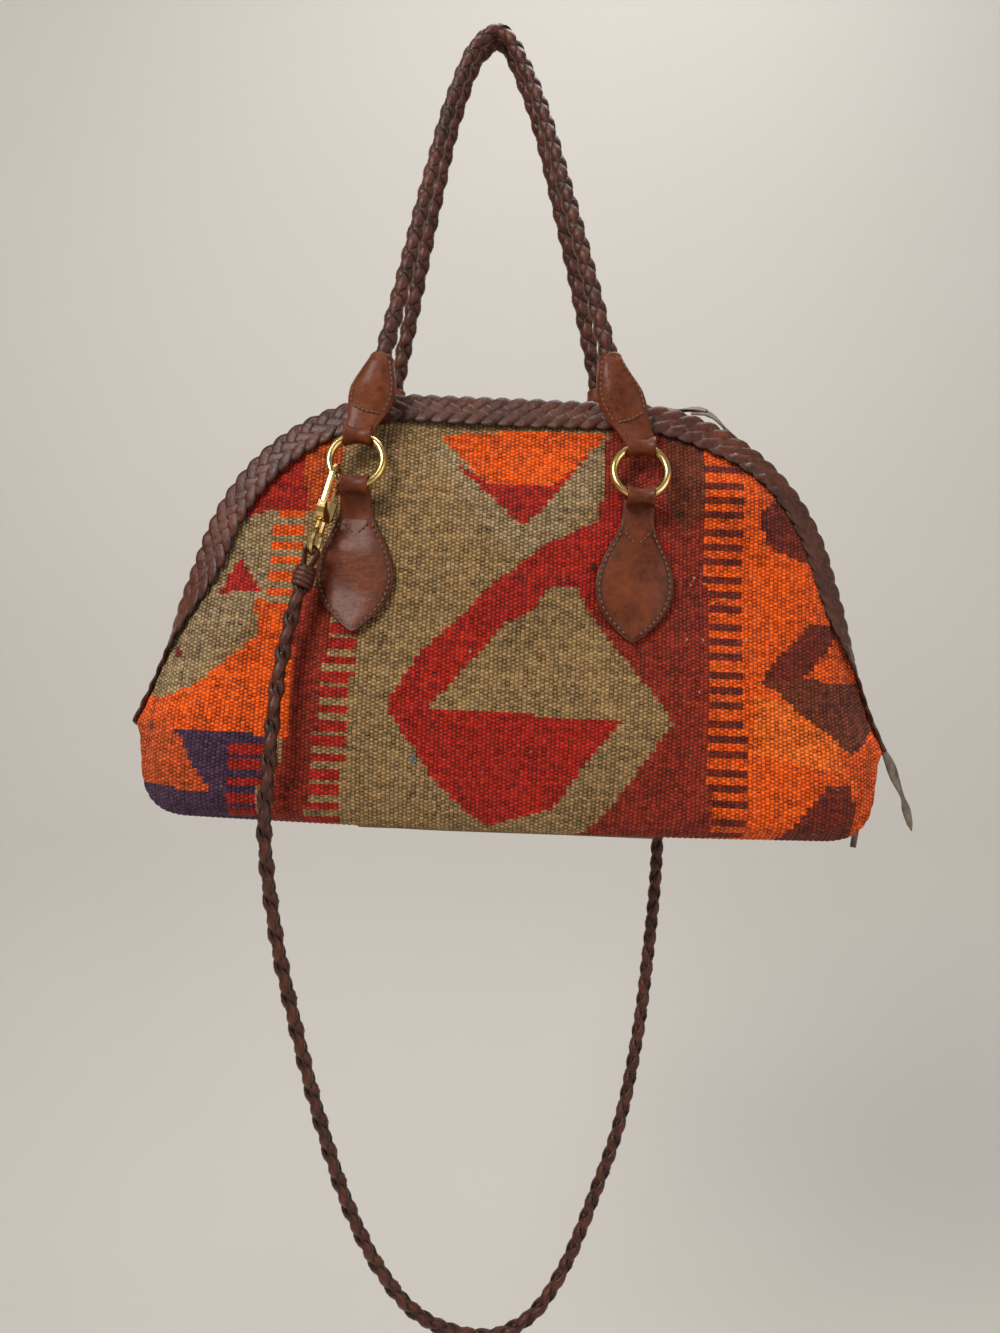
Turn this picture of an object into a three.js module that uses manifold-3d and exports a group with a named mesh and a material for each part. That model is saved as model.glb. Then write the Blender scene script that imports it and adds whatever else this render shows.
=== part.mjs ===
// Kilim shoulder bag with a domed top zip, two braided leather handles on rings, and a braided shoulder strap on
// swivel snap hooks. It hangs by its handles. Millimetres, +Z up, the front faces -Y.
// The origin is the point under the bends of both handles, where whatever holds the bag touches them.
import * as THREE from "three";
import { mergeVertices } from "three/addons/utils/BufferGeometryUtils.js";
import Module from "manifold-3d";

const wasm = await Module();
wasm.setup();

// Driving dimensions of the hanging bag
const GAP = 0.3; // running gap between neighbours
const TILT = THREE.MathUtils.degToRad(2.3); // the bag hangs lower on its right
const DROP = 253.4; // hang point down to the line of the ring centres
const RING_SPACING = 154; // between the two rings of one handle
const RING_Y = 42; // ring centres from the bag's middle plane
const RING_LEAN = THREE.MathUtils.degToRad(15); // the ring tops lean back over the bag
const RING_RADIUS = 14.5; // to the middle of the wire
const RING_WIRE = 2.25;

// Body: an arch with a zip along it, over a folded base
const BODY_X = 12; // the body's middle, right of the middle of the rings
const BODY_Z = -100; // height of the deepest point of both panels
const TOP_Z = 40;
const TOP_STRAIGHT = 120;
const CORNER_RADIUS = 120;
const CORNER_TURN = THREE.MathUtils.degToRad(72);
const SIDE_STRAIGHT = 110;
const BASE_Z = -197;
const BASE_HALF = 172; // half of the flat run of the base
const BASE_SAG = 2;
const BELLY = 52; // half depth at the deepest point
const TOP_EDGE = 16; // half depth at the zip edge
const BASE_EDGE = 40; // half depth at the base's fold
const KILIM = 2.6; // thickness of the woven wool
const LINING = 1;
const CORNER_STEPS = 4;
const BASE_STEPS = 4;
const PANEL_RINGS = [0.34, 0.62, 0.82, 0.94, 1];

// Zip and trims
const SLOT_HALF = 12; // half of the gap in the kilim that the zip closes
const TAPE = 0.8;
const TAPE_SUNK = 1.7; // tape top below the rim
const COIL_RADIUS = 1.3;
const MOUTH_HALF = 5; // half of the open mouth's width
const TRIM_WIDTH = 17;
const TRIM_THICK = 3.6;
const SLIDER = { length: 13, width: 10.5, plate: 1.1, lug: 2.4 };
const UPPER_SLIDER_X = 68; // from the arch's middle
const LOWER_SLIDER_UP = 16; // from the zip's lower right end
const PULL_WIRE = 0.8;
const PULL_REACH = 11;
const THONG = { width: 7, thick: 1.6 };

// Leather tabs and handles
const LEATHER = 1.7;
const TAB_FOLD_HALF = 7.5; // half width where a tab folds round its ring
const LOWER_TAB = { length: 78, half: 22, thick: 3.4, lean: -0.03 };
const UPPER_TAB_HALF = 12.5; // half width of an upper tab where it is widest
const HANDLE_RADIUS = 6; // at the tabs
const HANDLE_TOP_RADIUS = 4.6; // at the bend
const HANDLE_APART = 5.6; // a handle's middle from the middle plane at the bend
const HANDLE_SOCKET = 14; // length of the handle inside its tab
const HANDLE_STEPS = 26;
const HANDLE_SIDES = 8;

// Shoulder strap and its snap hooks
const STRAP_RADIUS = 4.6;
const STRAP_SIDES = 10;
const STRAP_STEP = 23;
const HOOK = {
  wire: 1.75,
  bow: 7, // mean radius of the bow
  shank: 17,
  barrel: 3.2,
  barrelTop: -11,
  barrelEnd: -24,
  bolt: 1.25,
  post: 1.4,
  collar: 3,
  eyeRadius: 6.6,
  eyeWire: 1.5,
};
const KNOT = 9; // length of the knot that the strap comes out of
const HANG_SLACK = 1.6; // room in the bow for the ring's wire, which crosses it aslant
const HOOK_AT = THREE.MathUtils.degToRad(225); // where the hook hangs on its ring
const HOOK_LEAN = new THREE.Vector3(-0.235, -0.13, -0.96).normalize();

const BRASS = { color: 0xc9a24a, roughness: 0.25, metalness: 1 };
const STEEL = { color: 0xb8b2a4, roughness: 0.3, metalness: 1 };
const TAN_LEATHER = { color: 0x6b2c17, roughness: 0.4, metalness: 0 };
const DARK_LEATHER = { color: 0x3c1d14, roughness: 0.5, metalness: 0 };
const WOOL = { color: 0xb03a22, roughness: 0.95, metalness: 0 };
const LINING_CLOTH = { color: 0x3a2a22, roughness: 0.9, metalness: 0 };
const TAPE_CLOTH = { color: 0x2b1d18, roughness: 0.9, metalness: 0 };
const COIL_PLASTIC = { color: 0x2e211b, roughness: 0.5, metalness: 0 };

// Small helpers
const V = (x, y, z) => new THREE.Vector3(x, y, z);
const mix = THREE.MathUtils.lerp;
const ramp = (x, a, b) => THREE.MathUtils.smoothstep(x, a, b);

// A closed mesh lofted through rings of equal length, with fans over both ends.
function loft(rings) {
  const count = rings[0].length;
  const points = rings.flat();
  const faces = [];
  for (let i = 0; i < rings.length - 1; i++)
    for (let j = 0; j < count; j++) {
      const a = i * count + j;
      const b = i * count + ((j + 1) % count);
      const c = b + count;
      const d = a + count;
      faces.push(a, b, c, a, c, d);
    }
  const middle = (ring) =>
    ring.reduce((sum, p) => sum.add(p), V(0, 0, 0)).divideScalar(count);
  const first = points.push(middle(rings[0])) - 1;
  const end = points.push(middle(rings.at(-1))) - 1;
  const base = (rings.length - 1) * count;
  for (let j = 0; j < count; j++) {
    faces.push(first, (j + 1) % count, j);
    faces.push(end, base + j, base + ((j + 1) % count));
  }
  const geometry = new THREE.BufferGeometry().setFromPoints(points);
  geometry.setIndex(faces);
  return facingOut(geometry);
}

// The same closed geometry with its faces turned outwards.
function facingOut(geometry) {
  const p = geometry.attributes.position;
  const index = geometry.index.array;
  const at = (k) => V(p.getX(index[k]), p.getY(index[k]), p.getZ(index[k]));
  let volume = 0;
  for (let i = 0; i < index.length; i += 3)
    volume += at(i).dot(at(i + 1).cross(at(i + 2)));
  if (volume < 0)
    for (let i = 0; i < index.length; i += 3)
      [index[i + 1], index[i + 2]] = [index[i + 2], index[i + 1]];
  return geometry;
}

// A circle of points round a place, in the plane of two unit vectors.
function circle(center, side, up, radius, sides) {
  return Array.from({ length: sides }, (_, k) => {
    const a = (2 * Math.PI * (k + 0.5)) / sides;
    return center
      .clone()
      .addScaledVector(side, radius * Math.cos(a))
      .addScaledVector(up, radius * Math.sin(a));
  });
}

// A tube of changing radius along a curve, which can stop a little short of the curve's ends.
function tube(curve, steps, radiusAt, sides, short = 0) {
  const frames = curve.computeFrenetFrames(steps, false);
  const inset = short / curve.getLength();
  return loft(
    Array.from({ length: steps + 1 }, (_, i) => {
      const t = THREE.MathUtils.clamp(i / steps, inset, 1 - inset);
      return circle(curve.getPointAt(t), frames.normals[i], frames.binormals[i], radiusAt(t), sides);
    }),
  );
}

function solidOf(geometry) {
  const bare = geometry.clone();
  bare.deleteAttribute("normal");
  bare.deleteAttribute("uv");
  const merged = mergeVertices(bare, 1e-4);
  return new wasm.Manifold(
    new wasm.Mesh({
      numProp: 3,
      vertProperties: new Float32Array(merged.attributes.position.array),
      triVerts: new Uint32Array(merged.index.array),
    }),
  );
}

function geometryOf(solid) {
  const mesh = solid.getMesh();
  const geometry = new THREE.BufferGeometry();
  geometry.setAttribute("position", new THREE.BufferAttribute(mesh.vertProperties, 3));
  geometry.setIndex(new THREE.BufferAttribute(mesh.triVerts, 1));
  return geometry;
}

const join = (...parts) =>
  geometryOf(parts.map(solidOf).reduce((a, b) => a.add(b)));
const cut = (part, ...tools) =>
  geometryOf(tools.map(solidOf).reduce((a, b) => a.subtract(b), solidOf(part)));

const bag = new THREE.Group(); // the bag's own frame: its origin is the middle of the ring centres
bag.rotation.y = TILT;
bag.position.set(-2, 0, -DROP);
bag.updateMatrixWorld(true);

const root = new THREE.Group();
root.add(bag);

function piece(name, geometry, finish, parent = bag) {
  const mesh = new THREE.Mesh(geometry, new THREE.MeshStandardMaterial(finish));
  mesh.name = name;
  parent.add(mesh);
  return mesh;
}

// The arch that the zip follows, seen from the front. s runs from its lower left end to its lower right end.
const CORNER_ARC = CORNER_RADIUS * CORNER_TURN;
const ARCH_LENGTH = 2 * SIDE_STRAIGHT + 2 * CORNER_ARC + TOP_STRAIGHT;
function arch(s) {
  const t = s - ARCH_LENGTH / 2;
  const side = Math.sign(t) || 1;
  const run = Math.abs(t);
  const onArc = THREE.MathUtils.clamp(run - TOP_STRAIGHT / 2, 0, CORNER_ARC);
  const turn = onArc / CORNER_RADIUS;
  const onTop = Math.min(run, TOP_STRAIGHT / 2);
  const onSide = Math.max(run - TOP_STRAIGHT / 2 - CORNER_ARC, 0);
  const x = onTop + CORNER_RADIUS * Math.sin(turn) + onSide * Math.cos(turn);
  const z = TOP_Z - CORNER_RADIUS * (1 - Math.cos(turn)) - onSide * Math.sin(turn);
  return {
    at: V(BODY_X + side * x, 0, z),
    along: V(Math.cos(turn), 0, -side * Math.sin(turn)),
    out: V(side * Math.sin(turn), 0, Math.cos(turn)),
  };
}

// Places along the arch: few on the straights, closer on the bends and round the open mouth.
const archStops = (() => {
  const stops = [0, SIDE_STRAIGHT / 2];
  const bend = 7;
  for (let k = 0; k <= bend; k++)
    stops.push(SIDE_STRAIGHT + (CORNER_ARC * k) / bend);
  const half = [...stops];
  half.forEach((s) => stops.push(ARCH_LENGTH - s));
  stops.push(ARCH_LENGTH / 2);
  return stops;
})();

// The body's outline seen from the front, as one closed loop of points. Its arch has the same stops as what lies on it.
const outline = (() => {
  const flat = (p) => new THREE.Vector2(p.x - BODY_X, p.z);
  const stops = archStops.filter((s) => s >= ARCH_LENGTH / 2).sort((a, b) => a - b);
  const right = stops.map((s) => flat(arch(s).at));
  const end = right.at(-1);
  const corner = new THREE.CubicBezierCurve(
    end,
    new THREE.Vector2(end.x - 10, end.y - 20),
    new THREE.Vector2(end.x - 2, BASE_Z),
    new THREE.Vector2(BASE_HALF, BASE_Z),
  );
  right.push(...corner.getSpacedPoints(CORNER_STEPS).slice(1));
  for (let k = 1; k <= BASE_STEPS; k++) {
    const x = BASE_HALF * (1 - k / BASE_STEPS);
    right.push(new THREE.Vector2(x, BASE_Z - BASE_SAG * (1 - (x / BASE_HALF) ** 2)));
  }
  const left = right.slice(1, -1).reverse();
  return [...right, ...left.map((p) => new THREE.Vector2(-p.x, p.y))];
})();
const lowness = (z) => ramp(-z, 118, 186); // 0 on the arch, 1 at the base
const edgeHalf = (z) => mix(TOP_EDGE, BASE_EDGE, lowness(z));
const fullness = (z) => mix(1.6, 4, lowness(z));
const halfDepth = (r, z) =>
  edgeHalf(z) + (BELLY - edgeHalf(z)) * (1 - Math.pow(r, fullness(z)));

// Half depth of the body at a place seen from the front: the outline's edge on the same ray gives reach and fullness.
function depthAt(x, z) {
  const from = new THREE.Vector2(x - BODY_X, z - BODY_Z);
  for (let i = 0; i < outline.length; i++) {
    const p = outline[i];
    const q = outline[(i + 1) % outline.length];
    const a = new THREE.Vector2(p.x, p.y - BODY_Z);
    const b = new THREE.Vector2(q.x, q.y - BODY_Z);
    const wide = a.cross(b);
    const u = from.cross(b) / wide;
    const v = a.cross(from) / wide;
    if (u < 0 || v < 0) continue;
    return mix(halfDepth(u + v, p.y), halfDepth(u + v, q.y), v / (u + v || 1));
  }
  return TOP_EDGE;
}

// The closed form of the body, shrunk by an inset.
function bodyForm(inset) {
  const ring = (r, side) =>
    outline.map((p) => {
      const reach = Math.hypot(p.x, p.y - BODY_Z);
      const k = (r * (reach - inset)) / reach;
      return V(
        BODY_X + p.x * k,
        side * (halfDepth(r, p.y) - inset),
        BODY_Z + (p.y - BODY_Z) * k,
      );
    });
  const front = PANEL_RINGS.map((r) => ring(r, -1));
  const back = [...PANEL_RINGS].reverse().map((r) => ring(r, 1));
  const form = loft([...front, ...back]);
  const p = form.attributes.position;
  const poles = p.count - 2;
  p.setXYZ(poles, BODY_X, inset - BELLY, BODY_Z);
  p.setXYZ(poles + 1, BODY_X, BELLY - inset, BODY_Z);
  return form;
}

// Half of the mouth's opening at s: closed left of the upper slider, open between the two sliders.
const UPPER_S = ARCH_LENGTH / 2 + UPPER_SLIDER_X;
const LOWER_S = ARCH_LENGTH - LOWER_SLIDER_UP;
const parted = (run) => 1 - Math.exp(-Math.max(run - 0.5, 0) / 20);
const mouthHalf = (s) => MOUTH_HALF * parted(s - UPPER_S) * parted(LOWER_S - s);

// A strip along the arch, whose section is given as [y, outward] pairs at each place.
function alongArch(sectionAt, extraStops = [], from = 0, to = ARCH_LENGTH) {
  const stops = [...new Set([from, to, ...archStops, ...extraStops])]
    .filter((s) => s >= from && s <= to)
    .sort((a, b) => a - b);
  return loft(
    stops.map((s) => {
      const { at, out } = arch(s);
      return sectionAt(s).map(([y, o]) => V(at.x, y, at.z).addScaledVector(out, o));
    }),
  );
}

function bodyPieces() {
  const slot = alongArch(() => [
    [-SLOT_HALF, -16],
    [SLOT_HALF, -16],
    [SLOT_HALF, 8],
    [-SLOT_HALF, 8],
  ]);
  const shell = (outer, wall) =>
    cut(bodyForm(outer), bodyForm(outer + wall), slot);
  piece("kilim_body", shell(0, KILIM), WOOL);
  piece("lining", shell(KILIM + GAP, LINING), LINING_CLOTH);
}

const COIL_UP = GAP + COIL_RADIUS * Math.cos(Math.PI / 6) - TAPE_SUNK; // middle of the teeth, from the rim
const mouthStops = [0.5, 8, 18, 34, 60].flatMap((d) => [UPPER_S + d, LOWER_S - d]);

function zipPieces() {
  for (const [name, side] of [["front", -1], ["back", 1]]) {
    const inner = (s) => COIL_RADIUS + GAP / 2 + mouthHalf(s);
    const tape = alongArch(
      (s) => [
        [side * (SLOT_HALF - GAP), -TAPE_SUNK - TAPE],
        [side * (SLOT_HALF - GAP), -TAPE_SUNK],
        [side * (inner(s) - 0.9), -TAPE_SUNK],
        [side * (inner(s) - 0.9), -TAPE_SUNK - TAPE],
      ],
      mouthStops,
    );
    piece("zip_tape_" + name, tape, TAPE_CLOTH);
    const coil = alongArch(
      (s) =>
        circle(V(0, 0, 0), V(1, 0, 0), V(0, 1, 0), COIL_RADIUS, 6).map((p) => [
          side * inner(s) + side * p.x,
          COIL_UP + p.y,
        ]),
      mouthStops,
      9,
      ARCH_LENGTH - 9,
    );
    piece("zip_coil_" + name, coil, COIL_PLASTIC);
    piece(name + "_braid_trim", trim(side), DARK_LEATHER);
  }
  for (const [name, s] of [["left", 4.5], ["right", ARCH_LENGTH - 4.5]]) {
    const { at, along, out } = arch(s);
    const stop = new THREE.Group();
    stop.position.copy(at).addScaledVector(out, GAP - TAPE_SUNK);
    stop.quaternion.setFromRotationMatrix(
      new THREE.Matrix4().makeBasis(along, V(0, 0, 0).crossVectors(out, along), out),
    );
    bag.add(stop);
    const plan = new THREE.Shape();
    plan.absellipse(0, 0, 3.4, 4.6, 0, 2 * Math.PI);
    const cap = new THREE.ExtrudeGeometry(plan, {
      depth: 2.2,
      bevelEnabled: false,
      curveSegments: 5,
    });
    piece("zip_end_stop_" + name, cap, BRASS, stop);
  }
}

// The flat braid sewn over a panel's edge, lying on the panel just inside the arch.
function trim(side) {
  const stops = [...new Set(archStops)].sort((a, b) => a - b);
  return loft(
    stops.map((s) => {
      const { at } = arch(s);
      const outward = V(at.x - BODY_X, 0, at.z - BODY_Z);
      const reach = outward.length();
      outward.divideScalar(reach);
      const edge = edgeHalf(at.z);
      const rise = halfDepth(1 - TRIM_WIDTH / reach, at.z) - edge;
      const lean = Math.atan2(rise, TRIM_WIDTH);
      const section = [
        [-1.5, GAP + 0.5],
        [TRIM_WIDTH - 1, GAP + 0.5],
        [TRIM_WIDTH, 1.6],
        [TRIM_WIDTH - 3, TRIM_THICK],
        [2, TRIM_THICK],
        [-1.6, 2],
      ];
      return section.map(([w, n]) =>
        at
          .clone()
          .addScaledVector(outward, n * Math.sin(lean) - w * Math.cos(lean))
          .add(V(0, side * (edge + w * Math.sin(lean) + n * Math.cos(lean)), 0)),
      );
    }),
  );
}

// A zip slider: a shield-shaped body with a forked channel for the two rows of teeth, and a lug on top.
// Its origin is the middle of the closed teeth, +X runs towards the mouth and +Z outwards.
const CHANNEL_LOW = -TAPE - COIL_UP - TAPE_SUNK - GAP;
const CHANNEL_HIGH = COIL_RADIUS + GAP;
const SLIDER_TOP = CHANNEL_HIGH + SLIDER.plate;
function sliderGeometry() {
  const { length, width, plate, lug } = SLIDER;
  const half = length / 2;
  const extruded = (shape, from, to, curveSegments = 4) =>
    new THREE.ExtrudeGeometry(shape, { depth: to - from, bevelEnabled: false, curveSegments })
      .translate(0, 0, from);
  const plan = new THREE.Shape();
  plan.moveTo(-half, -width * 0.36);
  plan.lineTo(half * 0.35, -width / 2);
  plan.quadraticCurveTo(half, -width / 2, half, -width * 0.2);
  plan.lineTo(half, width * 0.2);
  plan.quadraticCurveTo(half, width / 2, half * 0.35, width / 2);
  plan.lineTo(-half, width * 0.36);
  plan.closePath();
  const block = extruded(plan, CHANNEL_LOW - plate, SLIDER_TOP);
  const row = COIL_RADIUS * 2 + 2 * GAP;
  const fork = new THREE.Shape();
  fork.moveTo(-half - 1, -row);
  fork.lineTo(-1, -row);
  fork.lineTo(half + 1, -row - 1.2);
  fork.lineTo(half + 1, -0.9);
  fork.lineTo(half * 0.3, 0);
  fork.lineTo(half + 1, 0.9);
  fork.lineTo(half + 1, row + 1.2);
  fork.lineTo(-1, row);
  fork.lineTo(-half - 1, row);
  fork.closePath();
  const channel = extruded(fork, CHANNEL_LOW, CHANNEL_HIGH);
  const slotHeight = TAPE + 2 * GAP;
  const slots = [-1, 1].map((side) =>
    new THREE.BoxGeometry(length + 2, width, slotHeight).translate(
      0,
      side * (width / 2 + 2),
      CHANNEL_LOW + slotHeight / 2,
    ),
  );
  const lugArch = new THREE.Shape();
  lugArch.moveTo(-4.2, 0);
  lugArch.lineTo(-4.2, 1);
  lugArch.bezierCurveTo(-3.6, 4.6, 3.6, 4.6, 4.2, 1);
  lugArch.lineTo(4.2, 0);
  lugArch.lineTo(2.9, 0);
  lugArch.bezierCurveTo(2.6, 3.2, -2.6, 3.2, -2.9, 0);
  lugArch.closePath();
  const lugForm = extruded(lugArch, 0, lug)
    .rotateX(Math.PI / 2)
    .translate(0, lug / 2, SLIDER_TOP - 0.05);
  return join(cut(block, channel, ...slots), lugForm);
}

// The wire loop through a slider's lug: it hinges about the line across the zip.
function pullLoop(reach) {
  const path = new THREE.CatmullRomCurve3(
    [V(0, 2.4, 0), V(reach * 0.6, 2.8, 0), V(reach, 0, 0), V(reach * 0.6, -2.8, 0), V(0, -2.4, 0)],
    false,
    "catmullrom",
    0.5,
  );
  const bar = new THREE.CylinderGeometry(PULL_WIRE, PULL_WIRE, 5.4, 7);
  return join(tube(path, 12, () => PULL_WIRE, 6), bar);
}

// A leather thong: a flat strip along chosen points, with its width across the strip's run.
function strip(points, widthAt, thick, across) {
  const curve = new THREE.CatmullRomCurve3(points);
  const steps = points.length * 2;
  return loft(
    Array.from({ length: steps + 1 }, (_, i) => {
      const t = i / steps;
      const p = curve.getPointAt(t);
      const run = curve.getTangentAt(t);
      const side = across.clone().addScaledVector(run, -across.dot(run)).normalize();
      const up = V(0, 0, 0).crossVectors(run, side);
      const half = widthAt(t) / 2;
      return [[-1, -1], [1, -1], [1, 1], [-1, 1]].map(([a, b]) =>
        p.clone().addScaledVector(side, a * half).addScaledVector(up, (b * thick) / 2),
      );
    }),
  );
}

// A slider, its wire pull and its thong. The open side of the slider faces the mouth.
function sliderSet(name, s, facing, reach, thong) {
  const { at, along, out } = arch(s);
  const group = new THREE.Group();
  const run = along.clone().multiplyScalar(facing);
  group.position.copy(at).addScaledVector(out, COIL_UP);
  group.quaternion.setFromRotationMatrix(
    new THREE.Matrix4().makeBasis(run, V(0, 0, 0).crossVectors(out, run), out),
  );
  bag.add(group);
  piece("zip_slider_" + name, sliderGeometry(), BRASS, group);
  const pull = new THREE.Group();
  pull.position.set(0, 0, SLIDER_TOP + 1.25);
  group.add(pull);
  piece("zip_pull_" + name, pullLoop(reach), BRASS, pull);
  piece("zip_thong_" + name, thong, DARK_LEATHER, pull);
}

function sliderPieces() {
  const tail = (points, widthAt) => strip(points, widthAt, THONG.thick, V(0, 1, 0));
  const upper = join(
    tail(
      [V(9.4, 0, 2.2), V(13, 0, 2.4), V(22, -1, 2.2), V(38, -3, 2.6), V(50, -5, -6), V(64, -8, -20)],
      (t) => THONG.width * mix(1, 0.75, t),
    ),
    tail(
      [V(8.6, 0, 1.9), V(13, 1, 2.9), V(24, 3, 3.6), V(36, 4, 5.4), V(44, 4, 3)],
      () => THONG.width * 0.9,
    ),
  );
  sliderSet("upper", UPPER_S, 1, PULL_REACH, upper);
  const lower = join(
    tail(
      [V(-9, 0, 2), V(-13, 0, 1.8), V(-28, -1, -7), V(-48, -1, -16), V(-70, -2, -26)],
      (t) => THONG.width * mix(0.8, 0.45, t),
    ),
    tail(
      [V(-8.6, 0, 2.2), V(-14, -0.5, 4), V(-26, -2, 8), V(-48, -4, 11), V(-71, -6, 11)],
      (t) => THONG.width * mix(0.6, 1.6, Math.sin(Math.PI * t) ** 2),
    ),
  );
  sliderSet("lower", LOWER_S, -1, -PULL_REACH, lower);
}

// Rings, tabs and handles
const ringPlace = (end, side) =>
  V((end * RING_SPACING) / 2, side * RING_Y, 0);
// Unit vectors of a ring's plane: up the leaning ring, and out of its front.
const ringUp = (side) =>
  V(0, -side * Math.sin(RING_LEAN), Math.cos(RING_LEAN));

// The line that a fold round a ring's wire follows inside: the ring curves away under it towards both edges.
const FOLD_ACROSS = 2; // stations from a fold's middle to its edge
const FOLD_SEGMENTS = 10;
function foldLine(room) {
  return Array.from({ length: 2 * FOLD_ACROSS + 1 }, (_, k) => {
    const x = TAB_FOLD_HALF * (k / FOLD_ACROSS - 1);
    const reach = Math.sqrt(RING_RADIUS ** 2 - x * x);
    const radius = RING_RADIUS - reach + (RING_WIRE * RING_RADIUS) / reach + room;
    return new THREE.Vector2(radius, x);
  });
}

// The leather fold round a ring's wire, hollowed to the wire's own curve.
function foldGeometry() {
  const profile = [...foldLine(GAP + LEATHER), ...foldLine(GAP).reverse()];
  profile.push(profile[0].clone());
  return facingOut(
    mergeVertices(strippedLathe(new THREE.LatheGeometry(profile, FOLD_SEGMENTS)), 1e-4),
  ).rotateZ(-Math.PI / 2);
}
function strippedLathe(geometry) {
  geometry.deleteAttribute("normal");
  geometry.deleteAttribute("uv");
  return geometry;
}

// A lower tab: two layers of leather sewn on the panel, drop-shaped, with a fold round the ring above.
function lowerTab(end, side) {
  const center = ringPlace(end, side);
  const fold = center.clone().addScaledVector(ringUp(side), -RING_RADIUS);
  const rows = 9;
  const foldRadius = RING_WIRE + GAP + LEATHER;
  const rings = [];
  for (let i = 0; i <= rows; i++) {
    const t = i / rows;
    const down = t * LOWER_TAB.length;
    const swell = ramp(t, 0.04, 0.6);
    const tip = t > 0.62 ? Math.sqrt(Math.max(1 - ((t - 0.62) / 0.385) ** 2, 0.004)) : 1;
    const half = mix(TAB_FOLD_HALF, LOWER_TAB.half, swell) * tip;
    const z = fold.z - 3.2 - down;
    const middle = fold.x + end * down * LOWER_TAB.lean;
    const lift = 1 - ramp(down, 0, 16); // near the ring the tab rises off the panel to the fold
    const section = [];
    const columns = 2;
    const y = (x, n) => {
      const onPanel = depthAt(x, z) + GAP + 0.35 + n;
      const onFold = Math.abs(fold.y) + foldRadius - LOWER_TAB.thick + n - 0.4;
      return side * mix(onPanel, Math.max(onFold, onPanel), lift);
    };
    for (let k = 0; k <= columns; k++) {
      const x = middle + half * (-1 + (2 * k) / columns);
      section.push(V(x, y(x, 0), z));
    }
    for (let k = columns; k >= 0; k--) {
      const x = middle + half * (-1 + (2 * k) / columns);
      const edge = k === 0 || k === columns ? LOWER_TAB.thick * 0.7 : LOWER_TAB.thick;
      section.push(V(x, y(x, edge), z));
    }
    rings.push(section);
  }
  const wrap = foldGeometry().translate(fold.x, fold.y, fold.z);
  return { sheet: loft(rings), wrap };
}

function ringTorus(end, side, wire, around = 20, sides = 6) {
  const lean = side * RING_LEAN;
  const place = ringPlace(end, side);
  return strippedIndexed(
    new THREE.TorusGeometry(RING_RADIUS, wire, sides, around)
      .rotateX(Math.PI / 2)
      .rotateX(lean)
      .translate(place.x, place.y, place.z),
  );
}
function strippedIndexed(geometry) {
  return mergeVertices(strippedLathe(geometry), 1e-4);
}

// A handle's middle line between its two rings. Each leg is given as shares of the way up and across.
const LEG_LEFT = [[0.118, 0.127], [0.266, 0.329], [0.465, 0.62], [0.643, 0.842], [0.827, 0.969]];
const LEG_RIGHT = [[0.79, 0.883], [0.492, 0.563], [0.269, 0.278], [0.174, 0.148]];
function handleCurve(side) {
  const apex = bag.worldToLocal(V(-1, 0, HANDLE_TOP_RADIUS));
  apex.y = side * HANDLE_APART;
  const leg = (end) => {
    const from = ringPlace(end, side).addScaledVector(ringUp(side), RING_RADIUS);
    return ([a, b]) => V(mix(from.x, apex.x, a), mix(from.y, apex.y, b), mix(from.z, apex.z, b));
  };
  return new THREE.CatmullRomCurve3([
    ...LEG_LEFT.map(leg(-1)),
    apex,
    ...LEG_RIGHT.map(leg(1)),
  ]);
}

// An upper tab: two layers of leather that wrap a handle's end and fold round the ring below.
function upperTab(end, side, handle) {
  const fold = ringPlace(end, side).addScaledVector(ringUp(side), RING_RADIUS);
  const rope = handle.getPointAt(end < 0 ? 0 : 1);
  const inside = handle.getTangentAt(end < 0 ? 0 : 1).multiplyScalar(end < 0 ? 1 : -1);
  const top = rope.clone().addScaledVector(inside, HANDLE_SOCKET);
  const line = new THREE.CatmullRomCurve3([
    fold.clone().add(V(0, 0, 3.4)),
    fold.clone().lerp(rope, 0.55),
    rope,
    top,
  ]);
  const rows = 7;
  const rings = [];
  for (let i = 0; i <= rows; i++) {
    const t = i / rows;
    const p = line.getPointAt(t);
    const run = line.getTangentAt(t);
    const across = V(1, 0, 0).addScaledVector(run, -run.x).normalize();
    const up = V(0, 0, 0).crossVectors(run, across);
    const swell = Math.sin(Math.PI * Math.min(t / 0.9, 1)) ** 0.8;
    const half = mix(mix(TAB_FOLD_HALF, HANDLE_RADIUS + LEATHER, t), UPPER_TAB_HALF, swell * 0.9);
    const thick = mix(2.4, HANDLE_RADIUS + LEATHER, ramp(t, 0.15, 0.62));
    rings.push(
      Array.from({ length: 10 }, (_, k) => {
        const a = (2 * Math.PI * (k + 0.5)) / 10;
        const c = Math.sign(Math.cos(a)) * Math.abs(Math.cos(a)) ** 0.8;
        const d = Math.sign(Math.sin(a)) * Math.abs(Math.sin(a)) ** 0.8;
        return p.clone().addScaledVector(across, half * c).addScaledVector(up, thick * d);
      }),
    );
  }
  return { sheet: loft(rings), wrap: foldGeometry().translate(fold.x, fold.y, fold.z) };
}

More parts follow.
